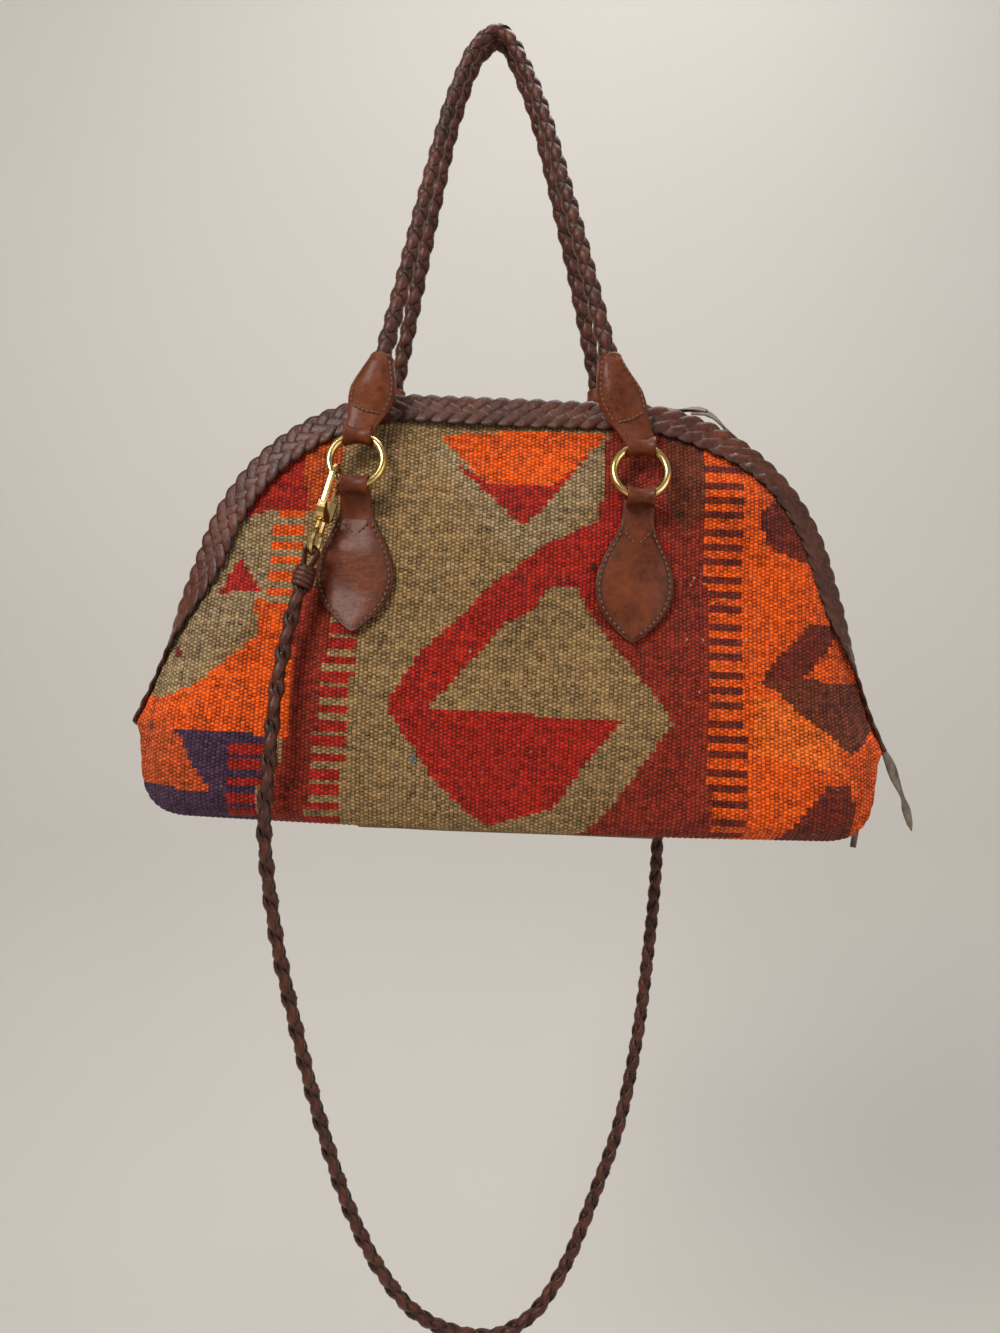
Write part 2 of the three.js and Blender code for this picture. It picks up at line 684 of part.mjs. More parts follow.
function handlePieces() {
  for (const [face, side] of [["front", -1], ["back", 1]]) {
    const curve = handleCurve(side);
    const radiusAt = (t) =>
      mix(HANDLE_RADIUS, HANDLE_TOP_RADIUS, Math.sin(Math.PI * t) ** 0.6);
    const rope = tube(curve, HANDLE_STEPS, radiusAt, HANDLE_SIDES, GAP);
    const socket = tube(curve, HANDLE_STEPS, (t) => radiusAt(t) + GAP, HANDLE_SIDES);
    piece(face + "_handle", rope, DARK_LEATHER);
    for (const [hand, end] of [["left", -1], ["right", 1]]) {
      const name = face + "_" + hand;
      piece(name + "_ring", ringTorus(end, side, RING_WIRE), BRASS);
      const clearance = ringTorus(end, side, RING_WIRE + GAP);
      const low = lowerTab(end, side);
      piece(
        name + "_lower_tab",
        geometryOf(
          solidOf(low.sheet).subtract(foldCore(end, side, -1)).add(solidOf(low.wrap)).subtract(solidOf(clearance)),
        ),
        TAN_LEATHER,
      );
      const high = upperTab(end, side, curve);
      piece(
        name + "_handle_tab",
        geometryOf(
          solidOf(high.sheet)
            .subtract(foldCore(end, side, 1))
            .add(solidOf(high.wrap))
            .subtract(solidOf(clearance))
            .subtract(solidOf(socket)),
        ),
        TAN_LEATHER,
      );
    }
  }
}

// The hollow inside a fold, so that the sheet joined to it leaves the wire free.
function foldCore(end, side, upDown) {
  const fold = ringPlace(end, side).addScaledVector(ringUp(side), upDown * RING_RADIUS);
  const profile = [
    new THREE.Vector2(0, -TAB_FOLD_HALF - 1),
    ...foldLine(GAP + 0.2),
    new THREE.Vector2(0, TAB_FOLD_HALF + 1),
  ];
  const core = facingOut(
    mergeVertices(strippedLathe(new THREE.LatheGeometry(profile, FOLD_SEGMENTS)), 1e-4),
  );
  return solidOf(core.rotateZ(-Math.PI / 2).translate(fold.x, fold.y, fold.z));
}

// The snap hook in its own frame: +Z towards the bow, the bow's plane is YZ, the bow's middle at the origin.
function lathe(profile, segments) {
  return facingOut(
    mergeVertices(
      strippedLathe(new THREE.LatheGeometry(profile.map(([r, z]) => new THREE.Vector2(r, z)), segments)),
      1e-4,
    ),
  ).rotateX(Math.PI / 2);
}

// Heights of the swivel eye on the hook's stem: its top, the stem's head inside it, and its loop.
const EYE = {
  top: HOOK.barrelEnd - GAP,
  head: HOOK.barrelEnd - 7.4,
  middle: HOOK.barrelEnd - 7.4 - 6,
};

function hookBody() {
  const { wire, bow, shank, barrel, barrelTop, barrelEnd, bolt, post, collar } = HOOK;
  const bend = [V(0, -bow, -shank), V(0, -bow, -shank / 2)];
  for (let k = 0; k <= 6; k++) {
    const a = Math.PI - (Math.PI * k) / 6;
    bend.push(V(0, bow * Math.cos(a), bow * Math.sin(a)));
  }
  bend.push(V(0, bow, -2.6));
  const path = new THREE.CatmullRomCurve3(bend, false, "centripetal");
  const hook = tube(path, 16, () => wire, 7);
  const bore = bolt + GAP;
  const barrelForm = lathe(
    [[0, barrelEnd + 2], [barrel - 0.8, barrelEnd + 2], [barrel, barrelEnd + 4], [barrel, barrelTop - 0.8], [barrel - 0.8, barrelTop], [0, barrelTop]],
    10,
  ).translate(0, bow, 0);
  const boreForm = lathe(
    [[0, barrelEnd + 3.2], [bore, barrelEnd + 3.2], [bore, barrelTop + 2], [0, barrelTop + 2]],
    10,
  ).translate(0, bow, 0);
  const bridge = new THREE.Shape();
  bridge.moveTo(-bow - wire, -shank + 2);
  bridge.lineTo(-bow + wire, -shank + 2);
  bridge.quadraticCurveTo(-bow + wire + 0.5, -shank - 1, bow, barrelEnd + 4);
  bridge.lineTo(bow, barrelEnd + 1);
  bridge.lineTo(2.6, barrelEnd);
  bridge.lineTo(-2.6, barrelEnd);
  bridge.quadraticCurveTo(-bow - wire, barrelEnd + 1, -bow - wire, -shank + 2);
  const web = strippedIndexed(
    new THREE.ExtrudeGeometry(bridge, { depth: 4, bevelEnabled: false, curveSegments: 4 })
      .translate(0, 0, -2)
      .rotateX(Math.PI / 2)
      .rotateZ(Math.PI / 2),
  );
  const stem = lathe(
    [[0, barrelEnd + 1], [post, barrelEnd + 1], [post, EYE.head], [post + 1.2, EYE.head - 0.2], [post + 0.9, EYE.head - 1.6], [0, EYE.head - 1.6]],
    10,
  );
  return geometryOf(
    solidOf(hook).add(solidOf(barrelForm)).add(solidOf(web)).subtract(solidOf(boreForm)).add(solidOf(stem)),
  );
}

function hookBolt() {
  const { bolt, bow, barrelTop, barrelEnd } = HOOK;
  const tip = -2.6 - GAP - 0.2;
  const pin = lathe(
    [[0, barrelEnd + 10.2], [bolt, barrelEnd + 10.2], [bolt, barrelTop + 5.4], [bolt + 0.9, barrelTop + 6], [bolt + 0.9, barrelTop + 7.2], [bolt, tip], [0, tip]],
    10,
  ).translate(0, bow, 0);
  const thumb = new THREE.SphereGeometry(1.6, 8, 6).translate(0, bow + 3, barrelTop + 6.6);
  return join(pin, strippedIndexed(thumb));
}

function hookSpring() {
  const { bolt, bow, barrelEnd } = HOOK;
  const turns = 3;
  const low = barrelEnd + 3.2 + GAP + 0.2;
  const high = barrelEnd + 10.2 - GAP - 0.2;
  class Coil extends THREE.Curve {
    getPoint(t, target = new THREE.Vector3()) {
      const a = 2 * Math.PI * turns * t;
      return target.set((bolt - 0.2) * Math.cos(a), (bolt - 0.2) * Math.sin(a) + bow, mix(low, high, t));
    }
  }
  return tube(new Coil(), turns * 8, () => 0.22, 4);
}

function hookEye() {
  const { post, collar, eyeRadius, eyeWire } = HOOK;
  const sleeve = lathe(
    [[0, EYE.top], [collar - 0.6, EYE.top], [collar, EYE.top - 0.8], [collar, EYE.head + GAP], [0, EYE.head + GAP]],
    12,
  );
  const loop = strippedIndexed(
    new THREE.TorusGeometry(eyeRadius, eyeWire, 6, 16).rotateY(Math.PI / 2),
  ).translate(0, 0, EYE.middle + eyeWire);
  const hole = lathe(
    [[0, EYE.top + 1], [post + GAP, EYE.top + 1], [post + GAP, EYE.head - 1], [0, EYE.head - 1]],
    10,
  );
  const headRoom = lathe(
    [[0, EYE.head + GAP], [post + 1.2 + GAP + 0.2, EYE.head + GAP], [post + 1.2 + GAP + 0.2, EYE.head - 3], [0, EYE.head - 3]],
    10,
  );
  return geometryOf(
    solidOf(loop).add(solidOf(sleeve)).subtract(solidOf(hole)).subtract(solidOf(headRoom)),
  );
}

// The leather loop that ties the strap to the hook's eye, with the knot that the strap comes out of.
function strapEnd() {
  const eyeLow = EYE.middle + HOOK.eyeWire - HOOK.eyeRadius;
  const inner = HOOK.eyeWire + 4 * GAP;
  const outer = inner + LEATHER;
  const band = new THREE.Shape();
  band.absarc(0, 0, outer, 0, Math.PI, false);
  band.lineTo(-outer, -6);
  band.absarc(0, -6, outer, Math.PI, 2 * Math.PI, false);
  const hole = new THREE.Path();
  hole.absarc(0, 0, inner, 0, Math.PI, false);
  hole.lineTo(-inner, -4);
  hole.absarc(0, -4, inner, Math.PI, 2 * Math.PI, false);
  band.holes.push(hole);
  const loop = strippedIndexed(
    new THREE.ExtrudeGeometry(band, { depth: 6, bevelEnabled: false, curveSegments: 6 })
      .translate(0, 0, -3)
      .rotateX(Math.PI / 2),
  ).translate(0, 0, eyeLow);
  const knotTop = eyeLow - 6 - inner;
  const knot = lathe(
    [[0, knotTop], [4.2, knotTop], [6.2, knotTop - 3], [6.2, knotTop - 6], [STRAP_RADIUS, knotTop - KNOT], [0, knotTop - KNOT]],
    12,
  );
  return { geometry: join(loop, knot), bottom: knotTop - KNOT };
}

// The frame of the snap hook on one ring. turn is 0 on the front left ring and half a turn on the back right one.
function hookGroup(turn) {
  const onRing = V(RING_RADIUS * Math.cos(HOOK_AT), 0, RING_RADIUS * Math.sin(HOOK_AT));
  onRing.applyAxisAngle(V(1, 0, 0), -RING_LEAN);
  const contact = ringPlace(-1, -1).add(onRing);
  const wireRun = V(-Math.sin(HOOK_AT), 0, Math.cos(HOOK_AT)).applyAxisAngle(V(1, 0, 0), -RING_LEAN);
  const up = HOOK_LEAN.clone().negate();
  const normal = wireRun.addScaledVector(up, -wireRun.dot(up)).normalize();
  if (normal.x < 0) normal.negate();
  const across = V(0, 0, 0).crossVectors(up, normal);
  const group = new THREE.Group();
  const drop = HOOK.bow - HOOK.wire - RING_WIRE - HANG_SLACK;
  group.position.copy(contact).addScaledVector(up, -drop);
  group.quaternion.setFromRotationMatrix(new THREE.Matrix4().makeBasis(normal, across, up));
  const turned = new THREE.Group();
  turned.rotation.z = turn;
  turned.add(group);
  bag.add(turned);
  turned.updateMatrixWorld(true);
  return group;
}

function hookPieces() {
  const ends = {};
  for (const [name, turn] of [["front", 0], ["back", Math.PI]]) {
    const group = hookGroup(turn);
    piece(name + "_hook", hookBody(), BRASS, group);
    piece(name + "_hook_bolt", hookBolt(), BRASS, group);
    piece(name + "_hook_spring", hookSpring(), STEEL, group);
    piece(name + "_hook_eye", hookEye(), BRASS, group);
    const end = strapEnd();
    piece(name + "_strap_end", end.geometry, DARK_LEATHER, group);
    ends[name] = {
      at: group.localToWorld(V(0, 0, end.bottom - GAP)),
      run: group.localToWorld(V(0, 0, end.bottom - 14)),
    };
  }
  return ends;
}

// The route of the shoulder strap from the front hook, under the bag and up behind it to the back hook.
const STRAP_ROUTE = [
  [-117, -62, -369],
  [-121, -66, -416],
  [-124, -62, -448],
  [-121, -50, -503],
  [-115, -42, -543],
  [-101, -28, -614],
  [-86, -18, -669],
  [-69, -10, -709],
  [-50, -4, -736],
  [-27, 3, -752],
  [-4, 8, -757],
  [18, 13, -748],
  [37, 20, -725],
  [58, 29, -681],
  [73, 36, -643],
  [86, 47, -590],
  [93, 56, -548],
  [99, 63, -500],
  [102, 68, -450],
  [103, 69, -410],
  [104, 64, -370],
];

function strapPiece(ends) {
  const points = [
    ends.front.at,
    ends.front.run,
    ...STRAP_ROUTE.map((p) => V(...p)),
    ends.back.run,
    ends.back.at,
  ];
  const curve = new THREE.CatmullRomCurve3(points, false, "centripetal");
  curve.arcLengthDivisions = 800;
  const ring = Array.from({ length: STRAP_SIDES }, (_, k) => {
    const a = (2 * Math.PI * k) / STRAP_SIDES;
    return new THREE.Vector2(STRAP_RADIUS * Math.cos(a), STRAP_RADIUS * Math.sin(a));
  });
  const steps = Math.round(curve.getLength() / STRAP_STEP);
  const cord = new THREE.ExtrudeGeometry(new THREE.Shape(ring), {
    steps,
    extrudePath: curve,
    bevelEnabled: false,
  });
  piece("shoulder_strap", strippedIndexed(cord), DARK_LEATHER, root);
}

bodyPieces();
zipPieces();
sliderPieces();
handlePieces();
strapPiece(hookPieces());

export default root;
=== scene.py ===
# %% [markdown]
# A kilim shoulder bag
#
# The bag is a flat-woven wool rug sewn into a domed satchel, with braided leather on every edge.
# The measured model gives each part's place. This lesson starts from it and rebuilds what is soft or braided.

# %% Load the measured model
import math

import bmesh
import bpy
import numpy as np
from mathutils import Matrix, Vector


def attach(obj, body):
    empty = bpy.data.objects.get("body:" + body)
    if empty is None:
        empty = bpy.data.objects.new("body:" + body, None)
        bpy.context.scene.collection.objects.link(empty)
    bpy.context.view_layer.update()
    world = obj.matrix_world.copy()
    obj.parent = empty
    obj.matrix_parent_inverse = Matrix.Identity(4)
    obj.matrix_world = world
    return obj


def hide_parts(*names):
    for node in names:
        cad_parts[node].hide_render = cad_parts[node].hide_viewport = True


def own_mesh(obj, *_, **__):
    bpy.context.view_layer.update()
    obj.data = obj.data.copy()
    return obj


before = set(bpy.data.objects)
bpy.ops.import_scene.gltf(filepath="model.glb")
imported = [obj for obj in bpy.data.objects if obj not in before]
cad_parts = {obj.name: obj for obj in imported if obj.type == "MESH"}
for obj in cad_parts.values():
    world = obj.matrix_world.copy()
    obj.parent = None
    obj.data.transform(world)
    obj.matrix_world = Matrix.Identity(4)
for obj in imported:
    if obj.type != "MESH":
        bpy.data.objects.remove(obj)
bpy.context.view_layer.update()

MM = 0.001

# %% [markdown]
# The bag was photographed from a little over half a metre, level, with a phone's wide lens.
# Close up, the front strap and handle look bigger than the ones behind, so the camera has to stand there too.
# The set is a pale floor that curves up into a pale wall, far enough away to stay plain. Past its edge the
# camera sees the sky as a pale wall too, while the sky's own light stays soft and a little warm.

# %% Camera
camera = bpy.data.objects.new("camera", bpy.data.cameras.new("camera"))
bpy.context.collection.objects.link(camera)
bpy.context.scene.camera = camera
camera.data.lens = 27.06
camera.data.sensor_width = 36
camera.data.clip_start = 0.01
camera.location = (-0.0012, -0.584, -0.362)
camera.rotation_euler = (math.radians(90), 0, 0)

# %% Floor and wall in one curved sheet
FLOOR = -1.15
WALL = 1.1
SWEEP = 0.5
SHEET_HALF = 4
bend = bmesh.new()
profile = [bend.verts.new((-SHEET_HALF, -3, FLOOR))]
profile.append(bend.verts.new((-SHEET_HALF, WALL - SWEEP, FLOOR)))
for step in range(1, 9):
    turn = math.radians(90) * step / 8
    back = WALL - SWEEP + SWEEP * math.sin(turn)
    profile.append(bend.verts.new((-SHEET_HALF, back, FLOOR + SWEEP - SWEEP * math.cos(turn))))
profile.append(bend.verts.new((-SHEET_HALF, WALL, 2.5)))
edges = [bend.edges.new(pair) for pair in zip(profile, profile[1:])]
swept = bmesh.ops.extrude_edge_only(bend, edges=edges)["geom"]
moved = [item for item in swept if isinstance(item, bmesh.types.BMVert)]
bmesh.ops.translate(bend, verts=moved, vec=(2 * SHEET_HALF, 0, 0))
bmesh.ops.reverse_faces(bend, faces=bend.faces)
set_mesh = bpy.data.meshes.new("studio_sheet")
bend.to_mesh(set_mesh)
bend.free()
set_mesh.shade_smooth()
studio = bpy.data.objects.new("studio_sheet", set_mesh)
bpy.context.collection.objects.link(studio)

# %% Lights


def soft_lamp(name, place, aim, size, power, tint=(1, 1, 1)):
    """A square area lamp that looks at a point."""
    lamp = bpy.data.lights.new(name, "AREA")
    lamp.size = size
    lamp.energy = power
    lamp.color = tint
    holder = bpy.data.objects.new(name, lamp)
    holder.location = place
    holder.rotation_euler = (Vector(aim) - Vector(place)).to_track_quat("-Z", "Y").to_euler()
    bpy.context.collection.objects.link(holder)


MIDDLE = (0, 0, -0.35)
soft_lamp("key_lamp", (-0.9, -1.3, 0.75), MIDDLE, 0.7, 27, (1, 0.965, 0.92))
soft_lamp("fill_lamp", (1.4, -1.1, -0.1), MIDDLE, 1.2, 8, (0.97, 0.98, 1))
soft_lamp("top_lamp", (0.2, 0.1, 1.3), MIDDLE, 0.8, 9)
soft_lamp("back_lamp", (0.5, 0.9, 1.6), MIDDLE, 0.8, 12)

# %% A soft sky that looks like a plain wall
world = bpy.data.worlds.new("studio")
world.use_nodes = True
sky_nodes = world.node_tree.nodes
sky_links = world.node_tree.links
glow = sky_nodes["Background"]
glow.inputs["Color"].default_value = (1, 0.98, 0.95, 1)
glow.inputs["Strength"].default_value = 0.26
pale_wall = sky_nodes.new("ShaderNodeBackground")
pale_wall.inputs["Color"].default_value = (0.60, 0.57, 0.53, 1)
ray_kind = sky_nodes.new("ShaderNodeLightPath")
shown_sky = sky_nodes.new("ShaderNodeMixShader")
sky_links.new(ray_kind.outputs["Is Camera Ray"], shown_sky.inputs[0])
sky_links.new(glow.outputs[0], shown_sky.inputs[1])
sky_links.new(pale_wall.outputs[0], shown_sky.inputs[2])
sky_links.new(shown_sky.outputs[0], sky_nodes["World Output"].inputs[0])
bpy.context.scene.world = world
bpy.context.scene.view_settings.view_transform = "Standard"

# %% [markdown]
# Materials are sums over a surface: a colour here, some noise there, a ridge every few millimetres.
# Writing such sums with the node editor's boxes hides them, so one small class lets them be written as sums.
# An expression on its values adds the Math nodes, and numbers alone never reach the node tree.

# %% Sums that build shader nodes


class Field:
    """A number that varies over a surface: a socket of a node tree with the signs of arithmetic."""

    def __init__(self, finish, socket):
        self.finish = finish
        self.socket = socket

    def sum_with(self, operation, *others):
        return self.finish.add("ShaderNodeMath", {"operation": operation}, *others)

    def __add__(self, other):
        return self.sum_with("ADD", self, other)

    def __sub__(self, other):
        return self.sum_with("SUBTRACT", self, other)

    def __rsub__(self, other):
        return self.sum_with("SUBTRACT", other, self)

    def __mul__(self, other):
        return self.sum_with("MULTIPLY", self, other)

    def __truediv__(self, other):
        return self.sum_with("DIVIDE", self, other)

    def __mod__(self, other):
        return self.sum_with("FLOORED_MODULO", self, other)

    def __gt__(self, other):
        return self.sum_with("GREATER_THAN", self, other)

    __radd__ = __add__
    __rmul__ = __mul__

    def power(self, exponent):
        return self.sum_with("POWER", self, exponent)

    def wave(self):
        return self.sum_with("SINE", self)

    def size(self):
        return self.sum_with("ABSOLUTE", self)

    def floor(self):
        return self.sum_with("FLOOR", self)

    def between(self, low, high):
        """0 below low, 1 above high, straight between."""
        return self.finish.add("ShaderNodeMapRange", {"clamp": True}, self, low, high, 0.0, 1.0)


class Finish:
    """One material and the nodes that it is made of."""

    def __init__(self, name):
        self.material = bpy.data.materials.new(name)
        self.material.use_nodes = True
        self.tree = self.material.node_tree
        self.shader = self.tree.nodes["Principled BSDF"]

    def plug(self, value, socket):
        if isinstance(value, Field):
            self.tree.links.new(value.socket, socket)
        else:
            socket.default_value = value

    def add(self, kind, settings=None, *values, out=0, **named):
        """A node of a kind: its settings, then values or links for its sockets, in order or by name."""
        node = self.tree.nodes.new(kind)
        for key, value in (settings or {}).items():
            setattr(node, key, value)
        for value, socket in zip(values, node.inputs):
            if value is not None:
                self.plug(value, socket)
        for key, value in named.items():
            self.plug(value, node.inputs[key.replace("_", " ")])
        return Field(self, node.outputs[out])

    def place(self):
        """Where a point of the surface is, in metres on the object."""
        return self.add("ShaderNodeTexCoord", out="Object")

    def lay(self):
        """Where a point is along and across the piece's own cloth or strip, in metres."""
        return self.add("ShaderNodeUVMap", {"uv_map": "lay"})

    def parts(self, vector):
        """The three numbers of a place."""
        split = self.tree.nodes.new("ShaderNodeSeparateXYZ")
        self.plug(vector, split.inputs[0])
        return [Field(self, socket) for socket in split.outputs]

    def stretched(self, vector, scale):
        return self.add("ShaderNodeMapping", {}, vector, (0, 0, 0), (0, 0, 0), scale)

    def noise(self, vector, scale, detail=3.0, roughness=0.55):
        return self.add("ShaderNodeTexNoise", {}, Vector=vector, Scale=scale, Detail=detail,
                        Roughness=roughness)

    def cells(self, vector, scale):
        return self.add("ShaderNodeTexVoronoi", {"feature": "DISTANCE_TO_EDGE"}, Vector=vector, Scale=scale)

    def blend(self, share, low, high):
        """A colour between two colours."""
        node = self.tree.nodes.new("ShaderNodeMix")
        node.data_type = "RGBA"
        self.plug(share, node.inputs[0])
        self.plug(low, node.inputs[6])
        self.plug(high, node.inputs[7])
        return Field(self, node.outputs[2])

    def bump(self, height, depth, strength=1.0):
        """Shades the surface as if it rose by height times depth, in metres."""
        normal = self.add("ShaderNodeBump", {}, Strength=strength, Distance=depth, Height=height)
        self.plug(normal, self.shader.inputs["Normal"])

    def set(self, **sockets):
        for key, value in sockets.items():
            self.plug(value, self.shader.inputs[key.replace("_", " ")])
        return self.material


def rgb(red, green, blue):
    return (red, green, blue, 1.0)


# %% Floor finish
plaster = Finish("studio_plaster")
speck = plaster.noise(plaster.place(), 3.0)
studio_tone = plaster.blend(speck, rgb(0.66, 0.63, 0.585), rgb(0.69, 0.66, 0.615))
studio.data.materials.append(plaster.set(Base_Color=studio_tone, Roughness=0.95))

# %% [markdown]
# The bag hangs a little askew, lower on its right, so its parts are worked out in a frame that hangs with it.
# That frame has its origin midway between the four rings, in millimetres. One function turns it into metres.

# %% The hanging frame
TILT = math.radians(2.3)
DROP = 253.4
SHIFT = -2


def hung(points):
    """Points in the bag's own millimetres, as places in metres."""
    points = np.asarray(points, float)
    x = SHIFT + points[..., 0] * math.cos(TILT) + points[..., 2] * math.sin(TILT)
    z = -DROP - points[..., 0] * math.sin(TILT) + points[..., 2] * math.cos(TILT)
    return np.stack([x, points[..., 1], z], axis=-1) * MM


def smooth_step(value, low, high):
    share = np.clip((np.asarray(value, float) - low) / (high - low), 0, 1)
    return share * share * (3 - 2 * share)


# %% [markdown]
# The dome's outline is a flat top, two bends and two straight sides, and the zip runs along it.
# Seen from the side the panels are fullest in the middle and thin at the zip, and squarer at the base.

# %% The arch and the swelling of the panels
BODY_X = 12
BODY_Z = -100
CORNER = 120
CORNER_TURN = math.radians(72)
CORNER_ARC = CORNER * CORNER_TURN
SIDE_RUN = 110
TOP_HALF = 60
TOP_Z = 40
ARCH_LENGTH = 2 * (SIDE_RUN + CORNER_ARC + TOP_HALF)
BASE_Z = -197
BASE_HALF = 172
BASE_SAG = 2
BELLY = 52
TOP_EDGE = 16
BASE_EDGE = 40
SIDE_ROLL = 9
ARCH_POINTS = 120


def arch(s):
    """The place, the way along and the way outwards, at s millimetres from the arch's lower left end."""
    t = np.asarray(s, float) - ARCH_LENGTH / 2
    side = np.where(t < 0, -1, 1)
    run = np.abs(t)
    on_arc = np.clip(run - TOP_HALF, 0, CORNER_ARC)
    turn = on_arc / CORNER
    on_top = np.minimum(run, TOP_HALF)
    on_side = np.maximum(run - TOP_HALF - CORNER_ARC, 0)
    x = on_top + CORNER * np.sin(turn) + on_side * np.cos(turn)
    z = TOP_Z - CORNER * (1 - np.cos(turn)) - on_side * np.sin(turn)
    flat = np.zeros_like(x)
    place = np.stack([BODY_X + side * x, flat, z], axis=-1)
    along = np.stack([np.cos(turn), flat, -side * np.sin(turn)], axis=-1)
    out = np.stack([side * np.sin(turn), flat, np.cos(turn)], axis=-1)
    return place, along, out


def right_outline():
    """The right half of the body's outline, from the arch's top down to the middle of the base."""
    place = arch(np.linspace(ARCH_LENGTH / 2, ARCH_LENGTH, ARCH_POINTS))[0]
    points = [(p[0] - BODY_X, p[2]) for p in place]
    x, z = points[-1]
    handles = [(x, z), (x - 10, z - 20), (x - 2, BASE_Z), (BASE_HALF, BASE_Z)]
    for u in np.linspace(0, 1, 40)[1:]:
        weights = [(1 - u) ** 3, 3 * (1 - u) ** 2 * u, 3 * (1 - u) * u * u, u**3]
        points.append(tuple(sum(w * h[i] for w, h in zip(weights, handles)) for i in (0, 1)))
    for x in np.linspace(BASE_HALF, 0, 30)[1:]:
        points.append((x, BASE_Z - BASE_SAG * (1 - (x / BASE_HALF) ** 2)))
    return points


half_outline = right_outline()
OUTLINE = np.array(half_outline + [(-x, z) for x, z in half_outline[-2:0:-1]])
ray_angle = np.arctan2(OUTLINE[:, 1] - BODY_Z, OUTLINE[:, 0])
ray_order = np.argsort(ray_angle)
RAYS = ray_angle[ray_order]
REACH = np.hypot(OUTLINE[:, 0], OUTLINE[:, 1] - BODY_Z)[ray_order]
REACH_Z = OUTLINE[:, 1][ray_order]
WIDEST = max(x for x, z in half_outline)


def edge_half(z):
    """Half of the bag's depth at its outline, at a height."""
    return TOP_EDGE + (BASE_EDGE - TOP_EDGE) * smooth_step(-np.asarray(z, float), 118, 186)


def share_out(x, z):
    """How far a point is from the panel's middle to its outline, from 0 to 1."""
    angle = np.arctan2(z - BODY_Z, x - BODY_X)
    return np.hypot(x - BODY_X, z - BODY_Z) / np.interp(angle, RAYS, REACH, period=2 * math.pi)


def panel_depth(x, z):
    """Half of the bag's depth at a place seen from the front."""
    angle = np.arctan2(z - BODY_Z, x - BODY_X)
    out_z = np.interp(angle, RAYS, REACH_Z, period=2 * math.pi)
    fullness = 1.6 + 2.4 * smooth_step(-out_z, 30, 160)
    edge = edge_half(out_z)
    share = np.clip(share_out(x, z), 0, 1)
    right = smooth_step(x - BODY_X, 70, 120) * smooth_step(-z, -25, 10)
    left = smooth_step(BODY_X - x, 70, 120) * smooth_step(-z, 50, 100)
    fading = 1 - smooth_step(share, 0.93, 1.0) * 0.9
    roll = SIDE_ROLL * (right + left) * smooth_step(share, 0.62, 0.9) * fading
    return edge + (BELLY - edge) * (1 - share**fullness) + roll * (1 - share**24)


# %% [markdown]
# Kilim is weft-faced: the coloured wool goes over and under stout warps and hides them, which leaves ribs.
# A colour ends on a rib, so every slanting edge of a motif is a little staircase.
# The whole cloth is one grid with three columns to a rib, folded under the base, and each of its faces has
# one colour, so that the staircases come out of the weave itself.

# %% The weave's measures and wools
RIB = 3.1
PER_RIB = 3
WEFT_ROW = 2.0
BEAD = 2.3
WEFT_BEAD = 2.1
RIB_HEIGHT = 0.65
RIB_SUNK = 0.45
OLIVE = (0.285, 0.172, 0.070)
GREY = (0.300, 0.200, 0.098)
ORANGE = (0.740, 0.088, 0.004)
RUST = (0.500, 0.070, 0.010)
RED = (0.370, 0.016, 0.007)
CRIMSON = (0.255, 0.024, 0.009)
MAROON = (0.165, 0.020, 0.008)
BROWN = (0.150, 0.028, 0.010)
PURPLE = (0.062, 0.026, 0.055)
YELLOW = (0.760, 0.130, 0.010)

